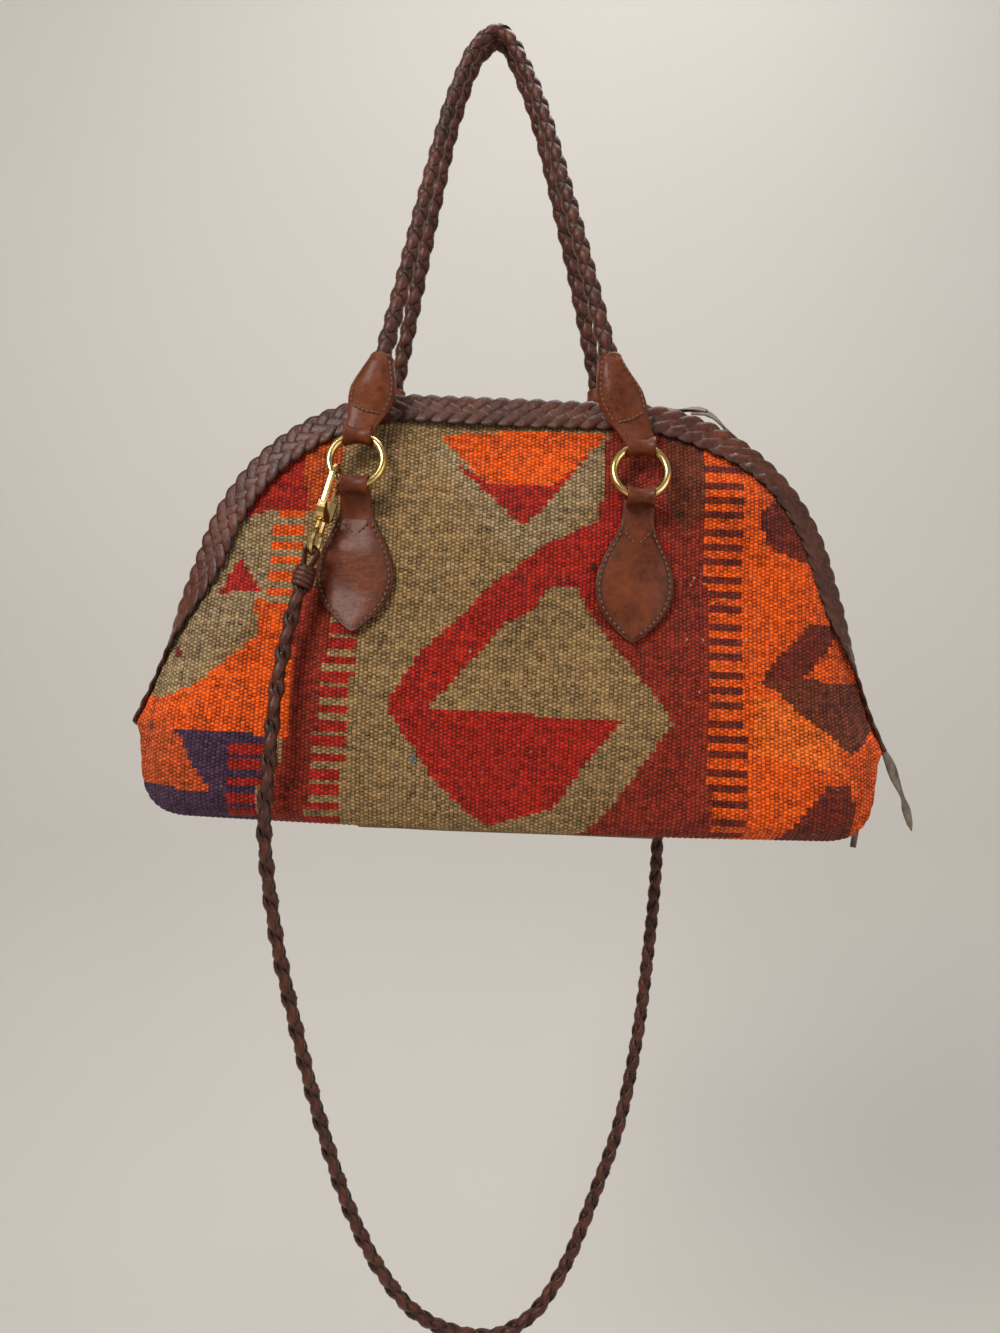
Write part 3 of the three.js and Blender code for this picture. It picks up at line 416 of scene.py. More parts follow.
# %% The motifs, corner by corner
MOTIFS = [
    (OLIVE, [(-110, 60), (80, 60), (60, -60), (70, -135), (110, -135), (70, -210), (-95, -210), (-84, -120)]),
    (GREY, [(-40, 12), (-26, 14), (15, -33), (52, 18), (64, 16), (56, -14), (24, -46), (12, -50),
            (-20, -16)]),
    (ORANGE, [(-34, 20), (13, 24), (60, 24), (32, -9), (14, -10), (-6, -9)]),
    (RED, [(-26, 4), (-14, -2), (-5, -8), (14, -9), (32, -7), (40, 1), (50, 12), (34, -11), (15, -32)]),
    (CRIMSON, [(62, 40), (118, 40), (117, -68), (130, -210), (40, -210), (65, -185), (78, -165), (97, -135),
               (92, -125), (76, -107), (62, -92), (51, -76), (56, -27)]),
    (RED, [(64, -8), (56, -27), (26, -42), (10, -56), (-5, -68), (-16, -82), (-28, -93), (-39, -104),
           (-55, -131),
           (-47, -144), (-39, -154), (-31, -167), (-20, -178), (-9, -188), (2, -195), (18, -190), (37, -184),
           (47, -167), (59, -150), (70, -135), (62, -92), (51, -76), (90, -60), (95, -40), (78, -13)]),
    (OLIVE, [(30, -65), (44, -64), (51, -76), (62, -92), (76, -107), (92, -125), (98, -135), (70, -135),
             (-32, -132), (-24, -122), (-14, -110), (-4, -100), (6, -86), (22, -77)]),
    (OLIVE, [(98, -135), (78, -165), (65, -185), (51, -199), (20, -200), (37, -184), (59, -150), (70, -135)]),
    (RED, [(-55, -131), (-32, -132), (70, -135), (59, -150), (47, -167), (37, -184), (18, -190), (2, -195),
           (-9, -188), (-20, -178), (-31, -167), (-39, -154), (-47, -144)]),
    (BROWN, [(92, 40), (116, 40), (116, -20), (104, -30), (92, -14)]),
    (ORANGE, [(112, 60), (240, 60), (240, -220), (128, -220), (118, -79)]),
    (RUST, [(135, 30), (200, 30), (226, -80), (213, -78), (193, -60), (172, -38), (150, -14)]),
    (MAROON, [(144, -20), (159, -6), (183, -46), (165, -43), (150, -37)]),
    (YELLOW, [(143, -118), (162, -123), (173, -131), (191, -144), (188, -158), (143, -150)]),
    (ORANGE, [(193, -80), (206, -78), (207, -110), (168, -108), (175, -104), (186, -92)]),
    (MAROON, [(174, -79), (193, -78), (191, -85), (186, -92), (175, -104), (168, -109), (146, -112),
              (153, -100),
              (164, -90)]),
    (BROWN, [(146, -112), (155, -116), (162, -123), (173, -131), (191, -144), (196, -150), (204, -144),
             (222, -131),
             (214, -108), (207, -111), (168, -109)]),
    (MAROON, [(180, -165), (196, -164), (200, -210), (154, -210), (163, -187), (171, -179), (176, -172)]),
    (GREY, [(-230, 60), (-146, 60), (-108, 60), (-108, -77), (-128, -82), (-146, -106), (-167, -129),
            (-240, -140)]),
    (RED, [(-150, -34), (-126, -3), (-112, 6), (-92, 30), (-86, 0), (-92, -26), (-112, -27), (-128, -26)]),
    (RUST, [(-112, 26), (-90, 30), (-86, 0), (-92, -26), (-104, -26), (-110, -4)]),
    (RED, [(-143, -52), (-153, -74), (-128, -72)]),
    (MAROON, [(-175, -104), (-171, -108), (-175, -112), (-179, -108)]),
    (ORANGE, [(-130, -77), (-106, -77), (-103, -131), (-105, -150), (-117, -150), (-170, -148), (-240, -156),
              (-200, -133), (-181, -133), (-160, -125), (-145, -112), (-137, -105), (-128, -97)]),
    (RUST, [(-240, -138), (-172, -147), (-163, -154), (-156, -167), (-146, -180), (-134, -181),
            (-240, -181)]),
    (PURPLE, [(-170, -148), (-117, -150), (-117, -176), (-134, -176), (-134, -181), (-146, -180),
              (-151, -172),
              (-156, -167), (-163, -154)]),
    (PURPLE, [(-240, -179), (-146, -180), (-134, -180), (-133, -240), (-240, -240)]),
    (CRIMSON, [(-109, -68), (-86, -68), (-83, -141), (-90, -220), (-122, -220), (-106, -142)]),
]


def inside(x, z, corners):
    """Which of the points lie in a polygon: a ray to the right crosses its sides an odd number of times."""
    found = np.zeros(len(x), bool)
    for (ax, az), (bx, bz) in zip(corners, corners[1:] + corners[:1]):
        if az == bz:
            continue
        crosses = (az > z) != (bz > z)
        found ^= crosses & (x < (bx - ax) * (z - az) / (bz - az) + ax)
    return found


# Each comb: its two colours, its run of heights, and the places of its left and right sides at those heights.
COMBS = [
    (ORANGE, MAROON, 12, -200, (114, 135), (120, 139)),
    (RED, OLIVE, -80, -199, (-87, -71), (-96, -79)),
    (ORANGE, GREY, -26, -78, (-123, -107), (-124, -108)),
    (RED, PURPLE, -155, -199, (-136, -119), (-137, -121)),
]
TOOTH = 8.7
TOOTH_SHARE = 0.57


def wool_colours(x, z):
    """The colour of the weft at places on a panel, in millimetres."""
    colours = np.tile(np.array(OLIVE), (len(x), 1))
    for colour, corners in MOTIFS:
        colours[inside(x, z, corners)] = colour
    for tooth_colour, gap_colour, top, bottom, at_top, at_bottom in COMBS:
        share = (top - z) / (top - bottom)
        left = at_top[0] + share * (at_bottom[0] - at_top[0])
        right = at_top[1] + share * (at_bottom[1] - at_top[1])
        within = (share > 0) & (share < 1) & (x > left) & (x < right)
        tooth = ((top - z) % TOOTH) < TOOTH * TOOTH_SHARE
        colours[within & tooth] = tooth_colour
        colours[within & ~tooth] = gap_colour
    return colours


# %% [markdown]
# The cloth is folded the way the bag is sewn. Each column runs down the front, turns at the outline, crosses
# under the base and goes up the back. Rows stay level on the panels, where the real bag's weft is straight.
# Corners get less cloth than the middle, so the rows there crowd together, as gathered cloth does.

# %% Fold one grid into the body's form
half_x, half_z = np.array(half_outline).T
below_arch = half_z <= half_z[ARCH_POINTS - 1] + 1e-6
LOWER_X = half_x[below_arch][::-1]
LOWER_Z = half_z[below_arch][::-1]


def lower_edge(x):
    """The height of the outline's lower run at a column."""
    return np.interp(np.abs(x - BODY_X), LOWER_X, LOWER_Z)


UNDER = 42.0
CLOTH_LOW = BASE_Z - BASE_SAG - UNDER
FRONT_TOP = TOP_Z + 2
LEFT_SIDE = BODY_X - WIDEST


def seen_height(v):
    """The height on a panel of a place in the flat cloth, whose second half goes up the back."""
    return np.where(v >= CLOTH_LOW, v, 2 * CLOTH_LOW - v)


def dents(x, z, side):
    """Slow swells and a few soft creases of an empty wool bag, in millimetres outwards."""
    slow = 0.9 * np.sin(x / 31 + side) * np.sin(z / 27 + 0.6) + 0.5 * np.sin(x / 17 + z / 23 + 1.3 * side)
    crease = -1.5 * np.exp(-(((z + 54 + 0.03 * x) / 4.0) ** 2)) * smooth_step(60 - np.abs(x + 2), 0, 40)
    slump = -1.1 * np.exp(-(((z + 150 - 0.25 * (x - 140)) / 9.0) ** 2)) * smooth_step(x, 90, 140)
    pinch = -1.0 * np.exp(-(((x + 75 + 0.15 * z) / 9.0) ** 2)) * smooth_step(-z, 60, 120)
    return slow + crease + slump + pinch


def cloth_place(x, v, inset=0.0):
    """Where a point of the flat cloth lies on the bag. v is the height in front, and runs on up the back."""
    side = np.where(v >= CLOTH_LOW, -1.0, 1.0)
    z = seen_height(v)
    low = lower_edge(x)
    on_panel = z > low
    depth = panel_depth(x, np.maximum(z, low)) - inset
    rest = np.clip((z - CLOTH_LOW) / np.maximum(low - CLOTH_LOW, 1), 0, 1)
    edge = edge_half(low) - inset
    y = np.where(on_panel, depth + dents(x, z, side), edge * rest)
    height = np.where(on_panel, z, low + inset)
    return np.stack([x, side * y, height], axis=-1)


# %% Weave the kilim
columns = int(2 * WIDEST / RIB) * PER_RIB
column_step = 2 * WIDEST / columns
rows = 2 * int((FRONT_TOP - CLOTH_LOW) / WEFT_ROW)
row_step = 2 * (FRONT_TOP - CLOTH_LOW) / rows


def cloth_grid(across, down):
    """A flat cloth that covers both panels, cut to the arch.

    Returns the bmesh, each vertex's flat place, the same places with those past the arch pulled in to it, and
    the faces that lie past it.
    """
    cloth = bmesh.new()
    bmesh.ops.create_grid(cloth, x_segments=across, y_segments=down, size=0.5)
    flat = np.array([v.co[:2] for v in cloth.verts])
    x = LEFT_SIDE + (flat[:, 0] + 0.5) * 2 * WIDEST
    v = FRONT_TOP - (0.5 - flat[:, 1]) * 2 * (FRONT_TOP - CLOTH_LOW)
    height = seen_height(v)
    far = share_out(x, height)
    past = (far > 1.0) & (height > lower_edge(x))
    for vert, gone in zip(cloth.verts, past):
        vert.tag = bool(gone)
    cut_off = [face for face in cloth.faces if all(vert.tag for vert in face.verts)]
    pull = np.maximum(far, 1.0)
    in_x = np.where(past, BODY_X + (x - BODY_X) / pull, x)
    in_z = np.where(past, BODY_Z + (height - BODY_Z) / pull, height)
    in_v = np.where(v >= CLOTH_LOW, in_z, 2 * CLOTH_LOW - in_z)
    return cloth, (x, v), (in_x, in_v), cut_off


kilim, (flat_x, flat_v), pulled_in, cut_off = cloth_grid(columns, rows)
print("kilim grid", columns, "by", rows, "cut off", len(cut_off))
kilim.verts.index_update()
formed = cloth_place(*pulled_in)

# %% Colour each face by its place in the weave
flat_layer = kilim.loops.layers.uv.new("lay")
wool_layer = kilim.loops.layers.float_color.new("wool")
middles = np.array([[v.index for v in face.verts] for face in kilim.faces])
face_x = flat_x[middles].mean(axis=1)
face_v = flat_v[middles].mean(axis=1)
rib_x = LEFT_SIDE + (np.floor((face_x - LEFT_SIDE) / column_step / PER_RIB) + 0.5) * column_step * PER_RIB
seen_x = np.where(face_v >= CLOTH_LOW, rib_x, 2 * BODY_X - rib_x)
hues = wool_colours(seen_x, seen_height(face_v))
chance = np.random.default_rng(7)
row_of = np.floor(face_v / row_step).astype(int)
row_of -= row_of.min()
shade_of_row = 1 + 0.07 * chance.standard_normal(row_of.max() + 1)
hues = hues * np.clip(shade_of_row[row_of] + 0.05 * chance.standard_normal(len(hues)), 0.7, 1.35)[:, None]
for face, hue, verts in zip(kilim.faces, hues, middles):
    tint = (*hue, 1.0)
    for loop, index in zip(face.loops, verts):
        loop[wool_layer] = tint
        loop[flat_layer].uv = (flat_x[index] * MM, flat_v[index] * MM)

# %% Give the cloth its folds and ribs
for vert, point in zip(kilim.verts, formed):
    vert.co = point
bmesh.ops.delete(kilim, geom=cut_off, context="FACES")
near_fold = [v for v in kilim.verts if v.co.z < -120 and abs(abs(v.co.y) - edge_half(v.co.z)) < 9]
for _ in range(8):
    bmesh.ops.smooth_vert(kilim, verts=near_fold, factor=0.5, use_axis_x=False, use_axis_y=True,
                          use_axis_z=True)
kilim.normal_update()
hem = [edge for edge in kilim.edges if edge.is_boundary]
phase = [(v.co.x - LEFT_SIDE) / (column_step * PER_RIB) for v in kilim.verts]
lifts = [RIB_HEIGHT * (0.5 - abs(0.5 - (p + 0.02) % 1.0)) * 2 - RIB_SUNK for p in phase]
normals = [v.normal.copy() for v in kilim.verts]
for vert, lift, normal in zip(kilim.verts, lifts, normals):
    vert.co += normal * lift

# %% Turn the top edge over towards the zip
HEM_HALF = 12.2
HEM_SUNK = 0.6
turned = bmesh.ops.extrude_edge_only(kilim, edges=hem)["geom"]
for vert in (item for item in turned if isinstance(item, bmesh.types.BMVert)):
    vert.co.y *= HEM_HALF / max(abs(vert.co.y), HEM_HALF)
    vert.co.z -= HEM_SUNK
for vert in kilim.verts:
    vert.co = hung(vert.co)
kilim.normal_update()


def finish_piece(name, form, materials, body="root", stands_for=(), smooth=True):
    """Makes a bmesh a piece: linked, shaded, on its body and the nodes that it stands for."""
    mesh = bpy.data.meshes.new(name)
    form.to_mesh(mesh)
    form.free()
    if smooth:
        mesh.shade_smooth()
    piece = bpy.data.objects.new(name, mesh)
    bpy.context.collection.objects.link(piece)
    for material in materials:
        mesh.materials.append(material)
    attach(piece, body)
    if stands_for:
        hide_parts(*stands_for)
    print(name, len(mesh.polygons), "faces")
    return piece


# %% [markdown]
# Handspun wool isn't one colour: the dye takes unevenly, the fibres catch the light, and lint settles in.
# The face colour carries the motif, and noise stretched along the weft gives the streaks of the yarn. Each
# weft bead is also painted lighter on its crown and darker in the gaps round it: a painted highlight and
# painted shade that follow the beads' bump.

# %% Wool finish
wool = Finish("kilim_wool")
cloth_lay = wool.lay()
dye = wool.add("ShaderNodeVertexColor", {"layer_name": "wool"})
yarn = wool.noise(wool.stretched(cloth_lay, (330.0, 1500.0, 1.0)), 1.0, 4.0, 0.65)
streaks = wool.noise(wool.stretched(cloth_lay, (60.0, 420.0, 1.0)), 1.0, 3.0)
patches = wool.noise(wool.place(), 24.0, 3.0)
fibre = wool.noise(wool.place(), 1900.0, 2.0, 0.7)
drift = wool.noise(wool.stretched(cloth_lay, (260.0, 320.0, 1.0)), 1.0, 2.0)
bead_column = (wool.parts(cloth_lay)[0] - LEFT_SIDE * MM) / (BEAD * MM) + (drift - 0.5) * 0.7
every_other = (bead_column / 2.0 % 1.0 > 0.5) * 0.5
bead_row = wool.parts(cloth_lay)[1] / (WEFT_BEAD * MM) + every_other + (yarn - 0.5) * 1.1
bead_at = wool.add("ShaderNodeCombineXYZ", {}, bead_column.floor(), bead_row.floor())
bead_tone = wool.add("ShaderNodeTexWhiteNoise", {"noise_dimensions": "2D"}, bead_at)
# Painted highlight and shade: each bead is lighter on its crown and darker in the gaps between beads, and the
# same term raises the bump.
bead_relief_and_shade = (bead_column * math.pi).wave().size().power(0.6) * (bead_row * math.pi).wave().size().power(0.7)
uneven_dye = (yarn - 0.5) * 1.1 + (streaks - 0.5) * 0.8 + (patches - 0.5) * 0.6
tone = uneven_dye + bead_relief_and_shade * 1.15 + (bead_tone - 0.5) * 0.75 + 0.36
lint = wool.noise(wool.stretched(cloth_lay, (190.0, 520.0, 1.0)), 1.0, 2.0).between(0.69, 0.76)
shaded = wool.add("ShaderNodeVectorMath", {"operation": "SCALE"}, dye, Scale=tone)
flecked = wool.blend(lint * 0.35, shaded, rgb(0.52, 0.42, 0.30))
wool.bump(bead_relief_and_shade * 1.3 + yarn * 0.5 + fibre * 0.35, 0.00055)
wool.set(Base_Color=flecked, Roughness=(fibre * 0.2) + 0.78, Specular_IOR_Level=0.18)
wool.set(Sheen_Weight=0.06, Sheen_Roughness=0.5)
finish_piece("kilim_cloth", kilim, [wool.material], stands_for=("kilim_body",))

# %% [markdown]
# Every braid, strap and thong is a strip bent along a line. A flat grid is rolled round that line: its short
# way goes round the strip's section and its long way along it. The grid's own corners give the strip a map,
# so leather grain can run along each strand however it twists.

# %% Roll a grid round a line


def unit(vectors):
    return vectors / np.maximum(np.linalg.norm(vectors, axis=-1, keepdims=True), 1e-12)


def distances(line):
    """How far along a line each of its points is."""
    return np.concatenate([[0], np.cumsum(np.linalg.norm(np.diff(line, axis=0), axis=1))])


def squared(wave, power):
    """A cosine or sine bent so that the section it draws is squarer, for a power under 1, or more pointed."""
    return np.sign(wave) * np.abs(wave) ** power


def round_grid(form, around, along):
    """Adds a grid to roll up: its vertices, their places on it from 0 to 1, and their turn's cosine, sine."""
    made = bmesh.ops.create_grid(form, x_segments=around, y_segments=along, size=0.5)["verts"]
    flat = np.array([v.co[:2] for v in made]) + 0.5
    turn = flat[:, 0] * 2 * math.pi
    return made, flat, np.cos(turn), np.sin(turn)


def resample(line, step):
    """The same line with its points an even step apart."""
    line = np.asarray(line, float)
    runs = distances(line)
    stops = np.linspace(0, runs[-1], max(int(round(runs[-1] / step)), 2) + 1)
    return np.stack([np.interp(stops, runs, line[:, k]) for k in range(3)], axis=1)


SHIFT_PER_VERT = 0.00037


def roll_strip(form, line, outward, half_width, half_thick, sides=8, square=1.0, hug=None):
    """Adds one closed strip along a line in metres, its flat side outward. It may hug a round core."""
    line = np.asarray(line, float)
    count = len(line)
    run = unit(np.gradient(line, axis=0))
    side = unit(np.cross(run, outward))
    face = unit(np.cross(side, run))
    width = np.broadcast_to(half_width, count)
    thick = np.broadcast_to(half_thick, count)
    lay = form.loops.layers.uv.get("lay") or form.loops.layers.uv.new("lay")
    if "rim" not in form.verts.layers.float:
        form.verts.layers.float.new("rim")
    runs = distances(line)
    shift = len(form.verts) * SHIFT_PER_VERT
    made, flat, c, s = round_grid(form, sides, count - 1)
    at = np.rint(flat[:, 1] * (count - 1)).astype(int)
    across = squared(c, square) * width[at]
    up = squared(s, square) * thick[at]
    if hug is not None:
        up = up - across**2 / (2 * np.broadcast_to(hug, count)[at])
    places = line[at] + side[at] * across[:, None] + face[at] * up[:, None]
    girth = 2 * float(np.max(width))
    # The rim layer is 1 at the strip's side edges, where the leather finishes paint shade for the cracks
    # between strands.
    rim = form.verts.layers.float["rim"]
    for vert, place, u, k, edge in zip(made, places, flat[:, 0], at, np.abs(c)):
        vert.co = place
        vert[rim] = float(edge) ** 2.5
        for loop in vert.link_loops:
            loop[lay].uv = (u * girth + shift, runs[k])
    return made


def weld_strips(form):
    """Closes the rolled grids along their seams and caps their open ends."""
    bmesh.ops.remove_doubles(form, verts=form.verts, dist=1e-6)
    bmesh.ops.holes_fill(form, edges=[e for e in form.edges if e.is_boundary], sides=40)
    bmesh.ops.recalc_face_normals(form, faces=form.faces)


def curve_through(points, per_gap=24):
    """A smooth line through points: a centripetal Catmull-Rom curve, as the measured model has."""
    points = np.asarray(points, float)
    padded = np.vstack([2 * points[0] - points[1], points, 2 * points[-1] - points[-2]])
    line = []
    for k in range(len(points) - 1):
        a, b, c, d = padded[k : k + 4]
        gaps = [max(np.linalg.norm(q - p), 1e-9) ** 0.5 for p, q in ((a, b), (b, c), (c, d))]
        start = ((b - a) / gaps[0] - (c - a) / (gaps[0] + gaps[1]) + (c - b) / gaps[1]) * gaps[1]
        end = ((c - b) / gaps[1] - (d - b) / (gaps[1] + gaps[2]) + (d - c) / gaps[2]) * gaps[1]
        for u in np.arange(per_gap) / per_gap:
            line.append(
                b * (2 * u**3 - 3 * u**2 + 1)
                + start * (u**3 - 2 * u**2 + u)
                + c * (3 * u**2 - 2 * u**3)
                + end * (u**3 - u**2)
            )
    return np.array(line + [points[-1]])


def carried_frame(line, first):
    """Two directions across a line at each point, carried along it without twisting."""
    run = unit(np.gradient(line, axis=0))
    up = np.zeros_like(line)
    up[0] = unit(np.asarray(first, float) - run[0] * np.dot(first, run[0]))
    for k in range(1, len(line)):
        up[k] = unit(up[k - 1] - run[k] * np.dot(up[k - 1], run[k]))
    return np.cross(run, up), up


# %% [markdown]
# A round braid is a maypole dance. Half of the strands walk round the cord one way and half the other, and
# each passes over, under, over, under the ones that it meets. One cosine does it: it counts the meetings
# round the cord, and strands that walk the other way take it with the other sign.

# %% Dance the strands round a cord


def round_braid(form, line, radius, dancers, pitch, half_width, half_thick, sides):
    """Adds a round braid of twice as many strands as dancers. Radius may vary along the line."""
    along = distances(line)
    radius = np.broadcast_to(radius, len(line))
    side, up = carried_frame(line, (0, -1, 0))
    for way in (1, -1):
        for dancer in range(dancers):
            angle = way * 2 * math.pi * along / pitch + 2 * math.pi * dancer / dancers
            over = way * np.cos(dancers * angle)
            reach = radius * (1 - half_thick * 2.0 + half_thick * over)
            outward = side * np.cos(angle)[:, None] + up * np.sin(angle)[:, None]
            strand = line + outward * reach[:, None]
            roll_strip(form, strand, outward, radius * half_width, radius * half_thick, sides, 0.85,
                       radius * 1.25)


# %% [markdown]
# Braided leather is bought as a finished cord: bridle leather dyed dark brown, creased across each strand,
# with the dye rubbed lighter in places. The crowns look lighter still because each strand's edges are painted
# near black, as painted shade in the cracks between strands. The tabs are redder, smoother and glossier: they
# are polished.

# %% Leather finishes


def leather(name, deep, worn, *, gloss, grain, wear, wrinkle):
    """Dyed leather: two tones by noise and wear, dark grime spots, painted shade along strip edges and stitch
    grooves, a fine pebble grain and shallow creases.
    """
    hide = Finish(name)
    where = hide.place()
    cloud = hide.noise(where, 42.0, 4.0)
    scuff = hide.noise(where, 260.0, 4.0, 0.7)
    pores = hide.cells(where, grain)
    strand = hide.noise(hide.stretched(hide.lay(), (900.0, 160.0, 1.0)), 1.0, 3.0)
    share = (cloud * 0.6 + scuff * 0.5 + strand * 0.35).between(0.72 - wear, 1.05 - wear * 0.5)
    tone = hide.blend(share, deep, worn)
    grime_and_edge_shade = hide.blend(hide.noise(where, 90.0, 2.0).between(0.6, 0.75) * 0.5, tone, rgb(0.02, 0.009, 0.006))
    # Painted shade: where the rim layer is high, at strip edges and stitch grooves, the colour goes near
    # black.
    rim = hide.add("ShaderNodeAttribute", {"attribute_name": "rim"}, out=2)
    grime_and_edge_shade = hide.blend(rim * 0.85, grime_and_edge_shade, rgb(0.012, 0.005, 0.003))
    creases = hide.noise(hide.stretched(hide.lay(), (260.0, 1400.0, 1.0)), 1.0, 2.0)
    wrinkles = hide.noise(hide.stretched(where, (1.0, 1.0, 1.8)), 150.0, 3.0)
    hide.bump(pores.between(0.0, 0.18) * 0.4 + creases * 0.5 + scuff * 0.3 + wrinkles * wrinkle, 0.00011)
    hide.set(Base_Color=grime_and_edge_shade, Roughness=(scuff * 0.26 + gloss), Specular_IOR_Level=0.36)
    return hide


braid_leather = leather("braided_leather", rgb(0.046, 0.0105, 0.0048), rgb(0.165, 0.044, 0.019),
                        gloss=0.15, grain=1500.0, wear=0.14, wrinkle=0.4)
braid_finish = braid_leather.material
polished = leather("tab_leather", rgb(0.090, 0.0155, 0.0036), rgb(0.235, 0.056, 0.013),
                   gloss=0.17, grain=1700.0, wear=0.12, wrinkle=3.6)
polished.set(Coat_Weight=0.06, Coat_Roughness=0.15, Specular_IOR_Level=0.22)
tab_finish = polished.material

# %% [markdown]
# The shoulder strap is the bag's one free cord. It hangs from the front ring's hook, dips in a long loop and
# comes up behind the bag. Its four strands are round, so each crossing stands out as a lozenge.

# %% Route of the shoulder strap
HANG_ROUTE = [
    (-117, -62, -369), (-121, -66, -416), (-124, -62, -448), (-121, -50, -503), (-115, -42, -543),
    (-101, -28, -614), (-86, -18, -669), (-69, -10, -709), (-50, -4, -736), (-27, 3, -752), (-4, 8, -757),
    (18, 13, -748), (37, 20, -725), (58, 29, -681), (73, 36, -643), (86, 47, -590), (93, 56, -548),
    (99, 63, -500), (102, 68, -450), (103, 69, -410), (104, 64, -370),
]
STRAP_ROUND = 4.6 * MM

# %% The two snap hooks' places
RING_SPACING = 154
RING_Y = 42
RING_LEAN = math.radians(15)
RING_RADIUS = 14.5
RING_WIRE = 2.25
HOOK_BOW = 7
HOOK_WIRE = 1.75
HANG_SLACK = 1.6
BARREL_END = -24
EYE_RADIUS = 6.6
EYE_WIRE = 1.5
EYE_LOW = BARREL_END - 7.4 - 6 + EYE_WIRE - EYE_RADIUS
KNOT_LENGTH = 9
STRAP_TOP = EYE_LOW - 6 - (EYE_WIRE + 1.2) - KNOT_LENGTH


def leaned(vector):
    """A vector turned with the front rings, whose tops lean back."""
    x, y, z = vector
    c, s = math.cos(-RING_LEAN), math.sin(-RING_LEAN)
    return np.array([x, y * c - z * s, y * s + z * c])


HOOK_AT = math.radians(225)
hook_up = unit(np.array([0.235, 0.13, 0.96]))
on_ring = leaned((RING_RADIUS * math.cos(HOOK_AT), 0, RING_RADIUS * math.sin(HOOK_AT)))
contact = np.array([-RING_SPACING / 2, -RING_Y, 0]) + on_ring
wire_run = leaned((-math.sin(HOOK_AT), 0, math.cos(HOOK_AT)))
hook_normal = unit(wire_run - hook_up * np.dot(wire_run, hook_up))
hook_normal = hook_normal * (1 if hook_normal[0] > 0 else -1)
hook_across = np.cross(hook_up, hook_normal)
hook_middle = contact - hook_up * (HOOK_BOW - HOOK_WIRE - RING_WIRE - HANG_SLACK)


def on_hook(points, end):
    """Points in a snap hook's own millimetres, z towards its bow, as places in metres."""
    points = np.atleast_2d(np.asarray(points, float))
    placed = hook_middle + points @ np.array([hook_normal, hook_across, hook_up])
    if end == "back":
        placed = placed * np.array([-1, -1, 1])
    return hung(placed)


strap_points = np.vstack([
    on_hook((0, 0, STRAP_TOP - 0.3), "front"),
    on_hook((0, 0, STRAP_TOP - 14), "front"),
    np.array(HANG_ROUTE) * MM,
    on_hook((0, 0, STRAP_TOP - 14), "back"),
    on_hook((0, 0, STRAP_TOP - 0.3), "back"),
])
strap_line = resample(curve_through(strap_points), 0.0022)

# %% Braid the strap
strap_form = bmesh.new()
round_braid(strap_form, strap_line, STRAP_ROUND, dancers=2, pitch=0.038, half_width=0.66, half_thick=0.3,
            sides=8)
weld_strips(strap_form)
shoulder_strap = finish_piece("shoulder_strap_braid", strap_form, [braid_finish],
                              stands_for=("shoulder_strap",))

# %% [markdown]
# The handles are four flat strands, thick at the tabs and thinner at the bend, where years of hanging have
# pulled them.

# %% Middle line of a handle
LEG_LEFT = [(0.118, 0.127), (0.266, 0.329), (0.465, 0.62), (0.643, 0.842), (0.827, 0.969)]
LEG_RIGHT = [(0.79, 0.883), (0.492, 0.563), (0.269, 0.278), (0.174, 0.148)]
HANDLE_THICK = 6.0
HANDLE_THIN = 4.6
APEX_X = math.cos(TILT) - (HANDLE_THIN + DROP) * math.sin(TILT)
APEX_Z = math.sin(TILT) + (HANDLE_THIN + DROP) * math.cos(TILT)


def ring_centre(end, side):
    """A ring's centre. End is -1 on the left and 1 on the right, side is -1 in front and 1 behind."""
    return np.array([end * RING_SPACING / 2, side * RING_Y, 0.0])


def ring_top(side):
    """The direction from a ring's centre to its top."""
    return np.array([0, -side * math.sin(RING_LEAN), math.cos(RING_LEAN)])


def handle_line(side):
    """The middle of a handle, in the bag's millimetres."""
    apex = np.array([APEX_X, side * 5.6, APEX_Z])

    def leg(end, shares):
        start = ring_centre(end, side) + RING_RADIUS * ring_top(side)
        return [start + (apex - start) * np.array([a, b, b]) for a, b in shares]

    return curve_through(np.array(leg(-1, LEG_LEFT) + [apex] + leg(1, LEG_RIGHT)))


# %% Braid both handles
FACES = {"front": -1, "back": 1}
for face, side in FACES.items():
    line = resample(hung(handle_line(side)), 0.0013)
    share = np.linspace(0, 1, len(line))
    radius = (HANDLE_THICK + (HANDLE_THIN - HANDLE_THICK) * np.sin(math.pi * share) ** 0.6) * MM
    form = bmesh.new()
    round_braid(form, line, radius, dancers=2, pitch=0.0255, half_width=0.74, half_thick=0.21, sides=12)
    weld_strips(form)
    finish_piece(face + "_handle_braid", form, [braid_finish], face + "_handle_set",
                 (face + "_handle",))

# %% [markdown]
# The trim over each panel's edge is a flat braid of four broad strands. Each strand swings from side to side,
# and the same cosine as in the round braid takes it over and under. It lies on a wedge-shaped seat that
# follows the panel, and towards both ends of the arch it turns from the panel's face onto the bag's side.

# %% Plait the flat trims
TRIM_WIDTH = 17
TRIM_STRANDS = 4
TRIM_PERIOD = 40.0
STRAND_HALF = 3.7
STRAND_THICK = 0.95
STRAND_RISE = 2.5
STRAND_WAVE = 1.1
TURN_FROM = 240
TURN_TO = 300


